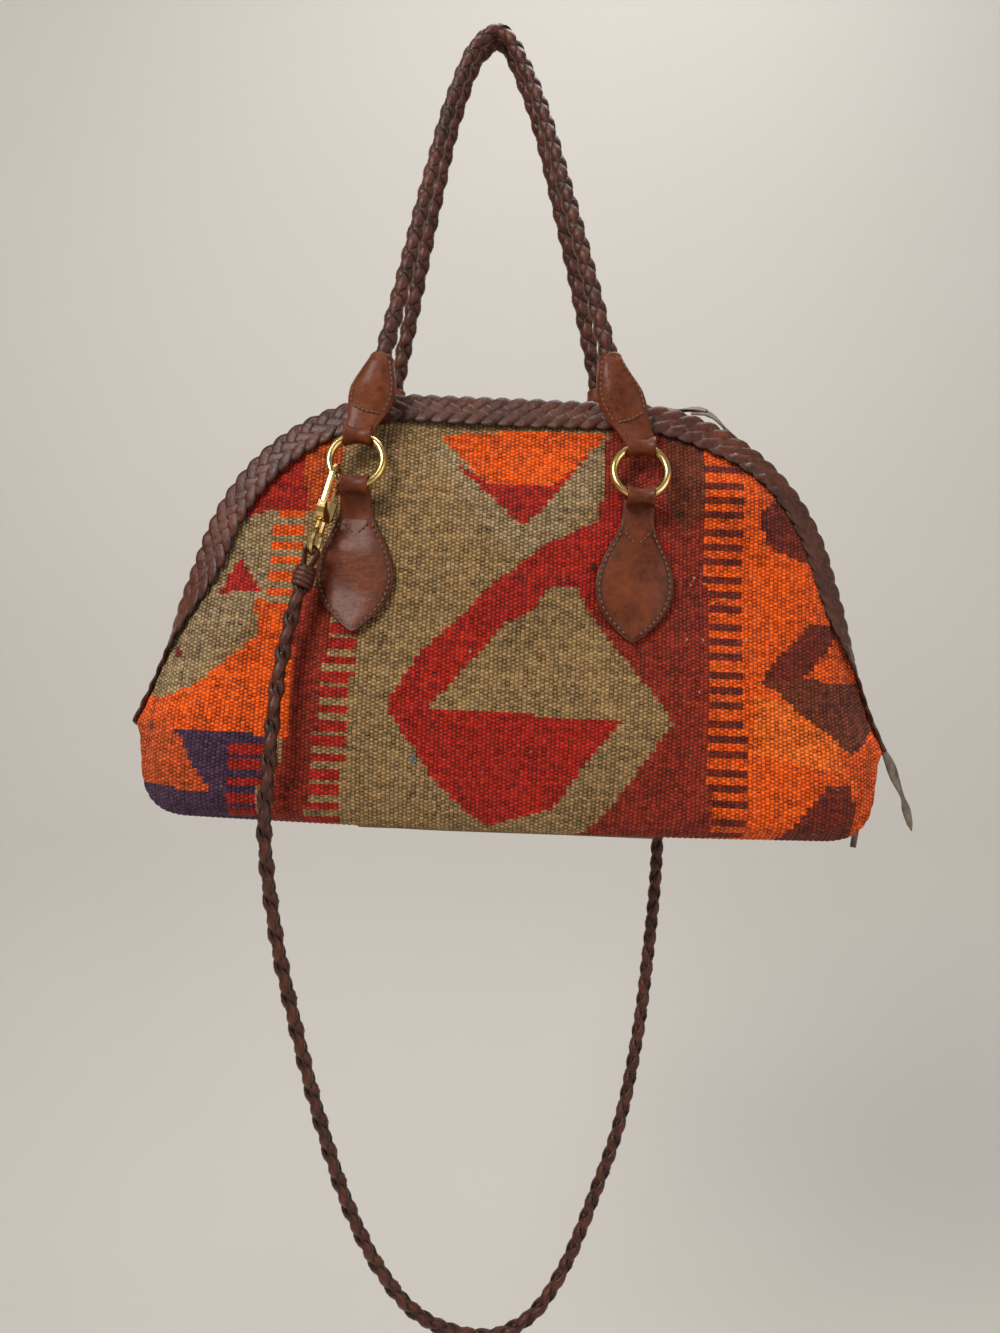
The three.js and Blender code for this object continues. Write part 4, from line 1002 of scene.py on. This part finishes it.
def on_trim(s, side, inward, up):
    """A place on a trim's seat, in millimetres: s along the arch, inward from the rim, up from the panel."""
    place = arch(s)[0]
    out = place - np.array([BODY_X, 0, BODY_Z])
    reach = np.linalg.norm(out, axis=-1, keepdims=True)
    out = out / reach
    edge = edge_half(place[..., 2])
    inner = place - out * TRIM_WIDTH
    lean = np.arctan2(panel_depth(inner[..., 0], inner[..., 2]) - edge, TRIM_WIDTH)
    c, sn = np.cos(lean), np.sin(lean)
    point = place + out * (up * sn - inward * c)[..., None]
    point[..., 1] += side * (edge + inward * sn + up * c)
    normal = out * sn[..., None]
    normal[..., 1] += side * c
    beside = place + out * (up - 0.6)[..., None]
    beside[..., 1] += side * (edge - 8.5 + inward)
    turned = smooth_step(np.abs(s - ARCH_LENGTH / 2), TURN_FROM, TURN_TO)[..., None]
    point = point * (1 - turned) + beside * turned + out * 1.2 * turned * (1 - turned)
    return point, unit(normal * (1 - turned) + out * turned)


for face, side in FACES.items():
    form = bmesh.new()
    s = np.linspace(0, ARCH_LENGTH, 520)
    for strand in range(TRIM_STRANDS):
        beat = s / TRIM_PERIOD + strand / TRIM_STRANDS
        swing = np.abs((beat % 1.0) * 2 - 1)
        way = np.where((beat % 1.0) < 0.5, -1.0, 1.0)
        soft = 0.5 - 0.5 * np.cos(math.pi * np.clip(swing * 1.06 - 0.03, 0, 1))
        across = 0.55 * swing + 0.45 * soft
        over = way * np.cos(math.pi * TRIM_STRANDS * swing)
        over = np.convolve(np.pad(over, 3, mode="edge"), np.ones(7) / 7, mode="valid")
        spare = 1 - 0.5 * smooth_step(np.abs(s - ARCH_LENGTH / 2), 215, 305)
        inward = 0.6 + across * (TRIM_WIDTH - 4.2) * spare
        point, normal = on_trim(s, side, inward, STRAND_RISE + STRAND_WAVE * over)
        narrowed = STRAND_HALF * MM * (0.4 + 0.6 * spare)
        roll_strip(form, hung(point), normal, narrowed, STRAND_THICK * MM, 10, 0.8)
    weld_strips(form)
    finish_piece(face + "_trim_plait", form, [braid_finish],
                 stands_for=(face + "_braid_trim",))

# %% [markdown]
# Four rings join the handles to the body. Each is bent from one brass rod, so it is spun from a small circle.

# %% Brass and steel


def metal(name, tone, tarnish, rough):
    """Cast or drawn metal with a thin uneven tarnish and hairline scratches."""
    cast = Finish(name)
    where = cast.place()
    film = cast.noise(where, 130.0, 4.0)
    hair = cast.noise(cast.stretched(where, (1.0, 1.0, 9.0)), 700.0, 3.0, 0.7)
    tint = cast.blend(film.between(0.42, 0.75), tone, tarnish)
    cast.bump(hair, 0.00004, 0.6)
    cast.set(Base_Color=tint, Roughness=film * 0.22 + hair * 0.12 + rough, Metallic=1.0)
    return cast.material


brass_finish = metal("brass_fittings", rgb(0.80, 0.56, 0.22), rgb(0.46, 0.28, 0.09), 0.05)
steel_finish = metal("spring_steel", rgb(0.55, 0.54, 0.52), rgb(0.28, 0.26, 0.23), 0.2)


def in_ring(points, end, side):
    """Points in a ring's own plane, its hole along y, leaned and placed on the bag."""
    x, y, z = np.moveaxis(np.asarray(points, float), -1, 0)
    c, s = math.cos(side * RING_LEAN), math.sin(side * RING_LEAN)
    return hung(np.stack([x, y * c - z * s, y * s + z * c], axis=-1) + ring_centre(end, side))


# %% Spin the rings
HANDS = {"left": -1, "right": 1}
for face, side in FACES.items():
    for hand, end in HANDS.items():
        form = bmesh.new()
        rod = bmesh.ops.create_circle(form, segments=16, radius=RING_WIRE)["verts"]
        bmesh.ops.translate(form, verts=rod, vec=(RING_RADIUS, 0, 0))
        bmesh.ops.spin(form, geom=form.verts[:] + form.edges[:], cent=(0, 0, 0), axis=(0, 1, 0),
                       angle=2 * math.pi, steps=72, use_merge=True)
        for vert in form.verts:
            vert.co = in_ring(np.array(vert.co), end, side)
        bmesh.ops.recalc_face_normals(form, faces=form.faces)
        finish_piece(f"{face}_{hand}_brass_ring", form, [brass_finish],
                     f"{face}_{hand}_ring_turning", (f"{face}_{hand}_ring",))

# %% [markdown]
# A tab is two layers of bridle leather, folded round a ring and stitched. The lower ones are drops: straight
# at the fold, hollow in the shoulders, round, then drawn to a point, with stitches close to the edge and in a
# V under the ring. Each tab is a strip rolled to its outline, and the stitches are little grains of thread.

# %% Outlines, sections and stitches
FOLD_HALF = 7.5
LEATHER = 1.7
GAP = 0.3
TAB_LENGTH = 78
SHIELD_LENGTH = 43.6
FLAT_TAB = 2.3
DROP_OUTLINE = [(0, 8.6), (6, 8.6), (12, 9.0), (18, 11.0), (24, 14.0), (32, 18.0), (40, 20.8), (47, 21.8),
                (53, 21.4), (60, 18.8), (66, 14.6), (71, 9.8), (75, 5.4), (77.4, 2.0), (TAB_LENGTH, 0.4)]
SHIELD_OUTLINE = [(0, 8.4), (6, 8.6), (11, 10.2), (17, 12.2), (23, 12.9), (29, 11.6), (35, 9.2), (40, 7.2),
                  (SHIELD_LENGTH, 6.6)]
STITCH_INSET = 2.4


def half_at(outline, down):
    return np.interp(down, [p[0] for p in outline], [p[1] for p in outline])


def smoothed(values, rounds):
    for _ in range(rounds):
        values = np.concatenate([values[:1], (values[:-2] + 2 * values[1:-1] + values[2:]) / 4, values[-1:]])
    return values


def add_stitch(form, place, run, outward, long=2.4, thick=0.68):
    """One stitch: a grain of waxed thread that dives into the leather at both ends."""
    made = bmesh.ops.create_uvsphere(form, u_segments=6, v_segments=5, radius=1.0)["verts"]
    side = np.cross(run, outward)
    for face in {face for vert in made for face in vert.link_faces}:
        face.material_index = 1
    for vert in made:
        x, y, z = vert.co
        vert.co = place + (run * z * long / 2 + side * x * thick + outward * y * thick) * MM


def stitch_line(form, points, outward, pitch=3.3):
    """Stitches along a line in metres, an even pitch in millimetres apart."""
    line = resample(points, pitch * MM)
    runs = unit(np.gradient(line, axis=0))
    outward = np.asarray(outward, float)
    picks = np.linspace(0, len(outward) - 1, len(line))
    for k in range(1, len(line) - 1):
        normal = outward[int(round(picks[k]))] if outward.ndim == 2 else outward
        add_stitch(form, line[k], runs[k], normal)


thread = Finish("stitch_thread")
thread_fibre = thread.noise(thread.place(), 700.0)
thread_tone = thread.blend(thread_fibre, rgb(0.110, 0.040, 0.020), rgb(0.230, 0.095, 0.050))
thread.set(Base_Color=thread_tone, Roughness=0.7)


# %% Sew the lower tabs


def lower_tab_surface(end, side, x_share, down, up):
    """A place on a lower tab: a share of its half width, then millimetres down from the ring and up."""
    fold_y = RING_Y - RING_RADIUS * math.sin(RING_LEAN)
    fold_z = -RING_RADIUS * math.cos(RING_LEAN)
    half = half_at(DROP_OUTLINE, down)
    z = fold_z - 1.0 - down
    x = end * RING_SPACING / 2 - end * down * 0.03 + x_share * half
    on_panel = panel_depth(x, z) + 0.6 + up
    on_fold = np.abs(fold_y) + RING_WIRE + GAP + LEATHER - 3.4 + up
    lift = 1 - smooth_step(down, 0, 18)
    y = on_panel + lift * (np.maximum(on_fold, on_panel) - on_panel)
    return np.stack([x, side * y, z], axis=-1)


def fold_loop(form, end, side, up_down):
    """The closed fold round a ring's wire, hollowed as the ring curves. It is a form's first addition."""
    across = np.linspace(-FOLD_HALF, FOLD_HALF, 13)
    reach = np.sqrt(RING_RADIUS**2 - across**2)
    inner = RING_RADIUS - reach + RING_WIRE * RING_RADIUS / reach + GAP
    edge_round = LEATHER * (1 - 0.35 * (np.abs(across) / FOLD_HALF) ** 6)
    section = list(zip(across, inner + edge_round)) + list(zip(across[::-1], inner[::-1]))
    centre = ring_centre(end, side) + up_down * RING_RADIUS * ring_top(side)
    verts = [form.verts.new((x, 0, r)) for x, r in section]
    edges = [form.edges.new((verts[k], verts[(k + 1) % len(verts)])) for k in range(len(verts))]
    bmesh.ops.spin(form, geom=verts + edges, cent=(0, 0, 0), axis=(1, 0, 0), angle=2 * math.pi, steps=32,
                   use_merge=True)
    for vert in form.verts:
        vert.co = hung(np.array(vert.co) + centre)


for face, side in FACES.items():
    for hand, end in HANDS.items():
        form = bmesh.new()
        tab_edge_and_groove_shade = form.verts.layers.float.new("rim")
        fold_loop(form, end, side, -1)
        made, flat, c, s = round_grid(form, 28, 46)
        down = TAB_LENGTH * (1 - (1 - flat[:, 1]) ** 1.25)
        x_share = squared(c, 0.55)
        thick = 1.5 + 0.35 * smooth_step(down, 14, 30)
        crown = 0.9 * (1 - x_share**2) * smooth_step(down, 16, 34) * (1 - smooth_step(down, 52, 76))
        up = thick + squared(s, 0.45) * thick + np.where(s > 0, crown, 0)
        warp = 0.35 * np.sin(down / 7 + end * 2 + side) * smooth_step(down, 20, 40)
        from_edge = half_at(DROP_OUTLINE, down) * (1 - np.abs(x_share))
        groove = np.exp(-(((from_edge - STITCH_INSET) / 1.2) ** 2)) * smooth_step(down, 12, 18) * (s > 0)
        up = up - 0.3 * groove
        places = hung(lower_tab_surface(end, side, x_share, down, up + np.where(s > 0, warp, 0)))
        # Painted shade along the stitch groove through the rim layer, and the tab darker right at its edge.
        for vert, place, dark, near in zip(made, places, groove, from_edge):
            vert.co = place
            vert[tab_edge_and_groove_shade] = float(max(dark, 0.7 * math.exp(-near / 0.4)))
        weld_strips(form)
        rim = np.linspace(17, 76, 60)
        half = half_at(DROP_OUTLINE, rim)
        straight_out = np.array([0.0, side, 0.0])
        for edge_side in (-1, 1):
            share = edge_side * np.maximum(half - STITCH_INSET, 0.1) / half
            line = hung(lower_tab_surface(end, side, share, rim * 0.985, 3.55))
            stitch_line(form, line, straight_out)
        for edge_side in (-1, 1):
            run = np.linspace(0, 1, 10)
            line = hung(lower_tab_surface(end, side, edge_side * run * 0.72, 25 - 8 * run, 3.9))
            stitch_line(form, line, straight_out, 2.9)
        finish_piece(f"{face}_{hand}_sewn_tab", form, [tab_finish, thread.material],
                     stands_for=(f"{face}_{hand}_lower_tab",))

# %% Wrap the upper tabs round the handle ends
for face, side in FACES.items():
    centre_line = handle_line(side)
    for hand, end in HANDS.items():
        form = bmesh.new()
        fold_loop(form, end, side, 1)
        fold = ring_centre(end, side) + RING_RADIUS * ring_top(side)
        ends = centre_line if end < 0 else centre_line[::-1]
        rope = ends[0]
        inside_run = unit(ends[4] - ends[0])
        middle = [fold + [0, 0, 2.2], fold * 0.45 + rope * 0.55, rope, rope + inside_run * 15]
        line = resample(curve_through(np.array(middle)), 1.0)
        run = unit(np.gradient(line, axis=0))
        across = unit(np.array([1.0, 0, 0]) - run * run[:, :1])
        outward = np.cross(run, across)
        outward = outward * np.sign(outward[:, 1:2] * side)
        share = np.linspace(0, 1, len(line))
        half = smoothed(half_at(SHIELD_OUTLINE, share * SHIELD_LENGTH), 3)
        thick = FLAT_TAB + (HANDLE_THICK + 0.9 - FLAT_TAB) * smooth_step(share, 0.2, 0.66)
        thick = thick - 1.2 * smooth_step(share, 0.86, 1.0)
        half[-1] = half[-1] * 0.86
        count = len(line)
        made, flat, c, s = round_grid(form, 28, count - 1)
        at = np.rint(flat[:, 1] * (count - 1)).astype(int)
        winged = 1.0 + 0.5 * smooth_step(half, 9, 12)
        wide_by = squared(c, 0.8) * half[at]
        rise = squared(s, winged[at]) * thick[at]
        places = line[at] + across[at] * wide_by[:, None] + outward[at] * rise[:, None]
        for vert, place in zip(made, hung(places)):
            vert.co = place
        weld_strips(form)
        picks = np.arange(int(count * 0.30), int(count * 0.97))
        inner = half[picks] - 2.2
        rise = np.sqrt(np.maximum(1 - (inner / half[picks]) ** 2.5, 0)) ** winged[picks] * thick[picks]
        for edge_side in (-1, 1):
            stitched = line[picks] + across[picks] * (edge_side * inner)[:, None]
            stitch_line(form, hung(stitched + outward[picks] * (rise + 0.3)[:, None]), outward[picks], 2.9)
        low = int(count * 0.30)
        row = np.linspace(-1, 1, 12)
        rise = np.sqrt(np.maximum(1 - (row * 0.82) ** 2, 0)) ** 1.3 * thick[low]
        stitched = (line[low] + across[low] * (row * 0.82 * half[low])[:, None]
                    + outward[low] * (rise + 0.4)[:, None] - run[low] * (1.6 * (1 - np.abs(row)))[:, None])
        stitch_line(form, hung(stitched), outward[low], 2.6)
        finish_piece(f"{face}_{hand}_shield_tab", form, [tab_finish, thread.material],
                     face + "_handle_set", (f"{face}_{hand}_handle_tab",))

# %% [markdown]
# The zip's teeth are one plastic wire, coiled along each tape. The two coils mesh where the zip is closed,
# and part between the two sliders, where the tapes stand a little open.

# %% Where the zip is open
UPPER_S = ARCH_LENGTH / 2 + 68
LOWER_S = ARCH_LENGTH - 16
TAPE_SUNK = 1.7
TAPE = 0.8
COIL_HALF = 1.3
COIL_UP = GAP + COIL_HALF * math.cos(math.pi / 6) - TAPE_SUNK
SPREAD = 5
TAPE_EDGE = 11.7
TOOTH_PITCH = 1.75


def parted(run):
    """How far the teeth have parted, from 0 to 1, at a distance past a slider."""
    return 1 - np.exp(-np.maximum(run - 0.5, 0) / 20)


def coil_line(s):
    """How far a coil's middle lies from the middle plane at s."""
    return COIL_HALF + GAP / 2 + SPREAD * parted(s - UPPER_S) * parted(LOWER_S - s)


# %% Coil the teeth and weave the tapes
tape_cloth = Finish("zip_tape")
tape_across, tape_along, _ = tape_cloth.parts(tape_cloth.lay())
twill = (tape_along * 5200.0 + tape_across * 5200.0).wave()
# Painted shade: the tape is lighter on the twill's ridges and darker in its furrows, following the same wave
# as its bump.
tape_tone_with_twill_shade = tape_cloth.blend(twill * 0.5 + 0.5, rgb(0.016, 0.008, 0.005), rgb(0.045, 0.022, 0.014))
tape_cloth.bump(twill, 0.00012)
tape_cloth.set(Base_Color=tape_tone_with_twill_shade, Roughness=0.85)
coil_wire = Finish("zip_coil")
wire_cloud = coil_wire.noise(coil_wire.place(), 240.0)
wire_tone = coil_wire.blend(wire_cloud, rgb(0.05, 0.026, 0.014), rgb(0.14, 0.08, 0.045))
coil_wire.set(Base_Color=wire_tone, Roughness=0.38)
for face, side in FACES.items():
    s = np.arange(9, ARCH_LENGTH - 9, TOOTH_PITCH / 8)
    place, _, out = arch(s)
    turn = 2 * math.pi * s / TOOTH_PITCH
    middle = place + out * COIL_UP
    coil = middle + out * (0.95 * np.sin(turn))[:, None]
    coil[:, 1] += side * coil_line(s) + np.cos(turn)
    around = out * np.sin(turn)[:, None]
    around[:, 1] += np.cos(turn)
    form = bmesh.new()
    roll_strip(form, hung(coil), around, 0.36 * MM, 0.32 * MM, 4)
    weld_strips(form)
    finish_piece(face + "_zip_teeth", form, [coil_wire.material],
                 stands_for=("zip_coil_" + face,))
    s = np.linspace(0, ARCH_LENGTH, 320)
    place, _, out = arch(s)
    inner = coil_line(s) - 0.9
    middle = place - out * (TAPE_SUNK + TAPE / 2)
    middle[:, 1] += side * (inner + TAPE_EDGE) / 2
    form = bmesh.new()
    roll_strip(form, hung(middle), out, (TAPE_EDGE - inner) / 2 * MM, TAPE / 2 * MM, 12, 0.35)
    weld_strips(form)
    seam = place - out * TAPE_SUNK
    seam[:, 1] += side * 9.8
    stitch_line(form, hung(seam), out, 4.2)
    finish_piece(face + "_zip_cloth", form, [tape_cloth.material, thread.material],
                 stands_for=("zip_tape_" + face,))

# %% [markdown]
# Inside is a thin cotton lining that follows the wool a few millimetres in. Only a strip of it shows in the
# mouth.

# %% Cut the lining
lining_cloth = Finish("lining_cloth")
cotton = lining_cloth.noise(lining_cloth.place(), 900.0)
cotton_tone = lining_cloth.blend(cotton, rgb(0.150, 0.095, 0.055), rgb(0.250, 0.170, 0.105))
lining_cloth.set(Base_Color=cotton_tone, Roughness=0.9)
lining_cloth.bump(cotton, 0.0002)
LINING_IN = 4.2
LINING_DOWN = 0.8
LINING_NARROW = 0.978
lining, _, (fold_x, fold_v), spare = cloth_grid(96, 120)
fold_x = BODY_X + (fold_x - BODY_X) * LINING_NARROW
places = cloth_place(fold_x, fold_v, LINING_IN)
for vert, place in zip(lining.verts, hung(places + np.array([0, 0, -LINING_DOWN]))):
    vert.co = place
bmesh.ops.delete(lining, geom=spare, context="FACES")
bmesh.ops.solidify(lining, geom=lining.faces[:], thickness=0.0008)
bmesh.ops.recalc_face_normals(lining, faces=lining.faces)
finish_piece("cotton_lining", lining, [lining_cloth.material], stands_for=("lining",))

# %% [markdown]
# A thong goes through each pull, so that cold fingers can find the zip. Its strips lie as they fell: some are
# plain tails, and others are cut wider and have curled. Their flesh side is grey suede.

# %% Slider frames and the thongs
suede = Finish("thong_suede")
nap = suede.noise(suede.place(), 900.0, 4.0, 0.7)
mottle = suede.noise(suede.place(), 120.0, 3.0)
suede_tone = suede.blend(mottle.between(0.35, 0.65), rgb(0.10, 0.075, 0.052), rgb(0.29, 0.235, 0.175))
suede.bump(nap, 0.0002)
suede.set(Base_Color=suede_tone, Roughness=0.9)


def at_slider(points, s, facing, rise):
    """Points in a slider's own millimetres, x along the zip and z outwards, as places in metres."""
    place, along, out = (part[0] for part in arch(np.array([s])))
    run = along * facing
    across = np.cross(out, run)
    origin = place + out * (COIL_UP + rise)
    return hung(origin + np.asarray(points, float) @ np.array([run, across, out]))


PULL_RISE = COIL_HALF + GAP + 1.1 + 1.25
SUEDE, BRAID_LEATHER = 0, 1
# Each thong: where its slider is, the way that it faces, and its strips. A strip has its middle line, half of
# its width at the start and at the end or widest, and its material.
THONGS = {
    "upper": (UPPER_S, 1, [
        ([(9.4, 0, 2.2), (13, 0, 2.4), (22, -1, 2.8), (32, -2, 4.4), (39, -3, 3.4)], 3.4, 3.2, BRAID_LEATHER),
        ([(30, -2, 2.2), (40, -4, 1.8), (50, -5, -6), (64, -8, -20)], 3.2, 2.5, SUEDE),
        ([(8.6, 0, 1.9), (13, 1, 2.9), (24, 3, 3.6), (36, 4, 5.4), (44, 4, 3)], 3.1, 3.1, SUEDE),
    ]),
    "lower": (LOWER_S, -1, [
        ([(-9, 0, 2), (-13, 0, 1.8), (-28, -1, -7), (-48, -1, -16), (-70, -2, -26)], 2.6, 1.7, SUEDE),
        ([(-8.6, 0, 2.2), (-14, -0.5, 4), (-26, -2, 8), (-48, -4, 11), (-71, -6, 11)], 1.8, 5.4, SUEDE),
    ]),
}
for name, (s_at, facing, strips) in THONGS.items():
    form = bmesh.new()
    for points, wide, wider, material_index in strips:
        line = resample(at_slider(curve_through(points), s_at, facing, PULL_RISE), 0.0012)
        share = np.linspace(0, 1, len(line))
        leaf = wider > wide
        swell = np.sin(math.pi * np.clip(share * 1.02, 0, 1)) ** 1.6 if leaf else share
        half = wide + (wider - wide) * swell
        half = half * (1 - 0.85 * smooth_step(share, 0.93, 1.0) * leaf)
        curl = 0.5 * np.sin(share * 9 + wide)
        outward = np.stack([0.15 * np.sin(5 * share), -0.45 + curl * 0.5, 0.9 + 0 * share], axis=1)
        made = roll_strip(form, line, outward, half * MM, 0.75 * MM, 10, 0.6, 0.012)
        for cut in {piece_face for vert in made for piece_face in vert.link_faces}:
            cut.material_index = material_index
    weld_strips(form)
    finish_piece("zip_thong_strips_" + name, form, [suede.material, braid_finish],
                 name + "_pull", ("zip_thong_" + name,))

# %% [markdown]
# Wool gathers what it rubs against. A dark knot and a loose bluish yarn stand on the front, and there is lint
# round them. Each is one short strip, curled up on the panel. They share a material that takes their colours.

# %% Knots and lint caught in the wool
tuft_wool = Finish("caught_yarn")
tuft_dye = tuft_wool.add("ShaderNodeVertexColor", {"layer_name": "tuft"})
tuft_fibre = tuft_wool.noise(tuft_wool.place(), 2500.0)
tuft_tone = tuft_wool.add("ShaderNodeVectorMath", {"operation": "SCALE"}, tuft_dye, Scale=tuft_fibre + 0.5)
tuft_wool.bump(tuft_fibre, 0.0001)
tuft_wool.set(Base_Color=tuft_tone, Roughness=0.9)
# Each tuft: its place on the front, its size and its colour.
TUFTS = [(53, -53, 2.2, (0.02, 0.006, 0.006)), (-39, -159, 3.0, (0.10, 0.16, 0.19))]
LINT = (0.40, 0.30, 0.21)
LINT_SPOTS = [(109, -56), (107, -60), (126, -67), (120, -69), (105, -90), (114, -90), (95, -72), (138, -89),
              (38, -125), (-11, -101), (112, -118), (146, -112)]
TUFTS += [(x, z, 0.7, LINT) for x, z in LINT_SPOTS]
form = bmesh.new()
tuft_layer = form.loops.layers.float_color.new("tuft")
form.loops.layers.uv.new("lay")
form.verts.layers.float.new("rim")
for x, z, size, colour in TUFTS:
    turn = np.linspace(0, 2.6 * math.pi, 26)
    spread = size * (0.4 + 0.6 * chance.random())
    curl_x = x + spread * np.sin(turn + x) * (0.5 + turn / 12)
    curl_z = z + 0.8 * size * np.cos(turn * 0.7 + z)
    rise = 0.45 + 0.25 * size * np.sin(turn * 1.3) ** 2
    curl_y = -(panel_depth(curl_x, curl_z) + dents(curl_x, curl_z, 1.0) + rise)
    curl = hung(np.stack([curl_x, curl_y, curl_z], axis=1))
    forward = np.tile([0.0, -1.0, 0.0], (len(turn), 1))
    made = roll_strip(form, curl, forward, (0.12 * size + 0.18) * MM, 0.3 * MM, 6)
    for tuft_face in {f for vert in made for f in vert.link_faces}:
        for loop in tuft_face.loops:
            loop[tuft_layer] = (*colour, 1.0)
weld_strips(form)
finish_piece("caught_yarn_tufts", form, [tuft_wool.material])

# %% [markdown]
# The strap is tied to its hooks. A flat strip goes through each swivel eye as a narrow bow, both of its ends
# run into a neck, and a broad lace is wound over them. A hidden plug fills the knot down to the strap.

# %% Tie the strap's ends to the hooks' eyes
NECK = EYE_LOW - 9
BOW_ROUND = 3.6
BOW_PINCH = 2.0
LACE_TURNS = 4.2
LACE_PITCH = 2.5
for end in FACES:
    form = bmesh.new()
    turn = np.linspace(-0.5, 1.5, 40) * math.pi
    straight = (turn < 0) | (turn > math.pi)
    down = np.minimum(np.abs(np.where(turn < 0, turn, turn - math.pi)) / 1.4, 1)
    bow_x = BOW_ROUND * np.cos(turn)
    bow_x = np.where(straight, np.sign(bow_x) * (BOW_ROUND - BOW_PINCH * down), bow_x)
    bow_z = np.where(straight, EYE_LOW - (EYE_LOW - NECK) * down, EYE_LOW + BOW_ROUND * np.sin(turn))
    loop = np.stack([bow_x, 0 * turn, bow_z], axis=1)
    outward = unit(np.stack([bow_x, 0 * turn, np.where(straight, 0, np.sin(turn))], axis=1))
    facing = unit(on_hook(loop + outward, end) - on_hook(loop, end))
    roll_strip(form, on_hook(loop, end), facing, 3.1 * MM, 0.8 * MM, 10, 0.6)
    windings = np.linspace(0, LACE_TURNS, 120)
    barrel = 4.7 + 0.5 * np.sin(math.pi * windings / LACE_TURNS)
    angle = 2 * math.pi * windings
    lace_z = NECK + 0.6 - windings * LACE_PITCH
    spiral = np.stack([barrel * np.cos(angle), barrel * np.sin(angle), lace_z], axis=1)
    core = spiral * [0, 0, 1]
    facing = unit(on_hook(spiral, end) - on_hook(core, end))
    roll_strip(form, on_hook(spiral, end), facing, 1.5 * MM, 0.95 * MM, 8, 0.8)
    plug = np.zeros((8, 3))
    plug[:, 2] = np.linspace(NECK + 1.5, STRAP_TOP - 1, 8)
    facing = on_hook(plug + [1, 0, 0], end) - on_hook(plug, end)
    roll_strip(form, on_hook(plug, end), facing, 4.4 * MM, 4.4 * MM, 14)
    weld_strips(form)
    finish_piece(end + "_strap_knot", form, [braid_finish],
                 stands_for=(end + "_strap_end",))

# %% [markdown]
# The metal fittings of the model have the right form already. They keep it and only get a finish.

# %% Dress the fittings of the model
BRASS_FITTINGS = ["zip_slider_upper", "zip_slider_lower", "zip_pull_upper", "zip_pull_lower",
                  "zip_end_stop_left", "zip_end_stop_right", "front_hook", "back_hook",
                  "front_hook_bolt", "back_hook_bolt", "front_hook_eye", "back_hook_eye"]
for node in BRASS_FITTINGS:
    for material_slot in bpy.data.objects[node].material_slots:
        material_slot.material = brass_finish
print("brass_fittings", len(BRASS_FITTINGS), "fittings")

# %% [markdown]
# A spring sits under the thumb post of each hook's bolt. It rides on the hook, and gets its own copy of its
# mesh.

# %% Wind the hooks' springs

SPRING_LOW = BARREL_END + 3.7
SPRING_HIGH = BARREL_END + 9.7
SPRING_FOOT = SPRING_LOW - 0.25
SPRING_ROUND = 1.05
SPRING_WIRE = 0.22
for end in FACES:
    form = bmesh.new()
    turn = np.linspace(0, 3, 73) * 2 * math.pi
    spring_z = np.linspace(SPRING_LOW, SPRING_HIGH, 73)
    coil = np.stack([SPRING_ROUND * np.cos(turn), SPRING_ROUND * np.sin(turn) + HOOK_BOW, spring_z], axis=1)
    core = np.stack([0 * turn, 0 * turn + HOOK_BOW, spring_z], axis=1)
    facing = unit(on_hook(coil, end) - on_hook(core, end))
    roll_strip(form, on_hook(coil, end), facing, SPRING_WIRE * MM, SPRING_WIRE * MM, 8)
    weld_strips(form)
    spring = finish_piece(end + "_coil_spring", form, [steel_finish], end + "_snap_hook",
                          stands_for=(end + "_hook_spring",))
    foot, head = on_hook([(0, HOOK_BOW, SPRING_FOOT), (0, HOOK_BOW, SPRING_HIGH)], end)
    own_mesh(spring)

# %% [markdown]
# Where a slider runs up against the next stretch of zip, its thong would stand off the bag. Each thong here
# only gets its own copy of its mesh.

# %% Give each thong its own mesh
corner_place, _, corner_out = (part[0] for part in arch(np.array([UPPER_S - 64.0])))
side_place, _, side_out = (part[0] for part in arch(np.array([LOWER_S])))
turn_out = hung(corner_out) - hung(np.zeros(3))
side_turn = hung(side_out) - hung(np.zeros(3))
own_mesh(bpy.data.objects["zip_thong_strips_upper"], "upper_slider_slide", axis=list(map(float, turn_out)),
          anchor=list(map(float, hung(corner_place + corner_out * 5.4))), keep=0.2)
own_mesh(bpy.data.objects["zip_thong_strips_lower"], "lower_slider_slide", axis=list(map(float, side_turn)),
          anchor=list(map(float, hung(side_place + side_out * 6.2))), keep=0.2)
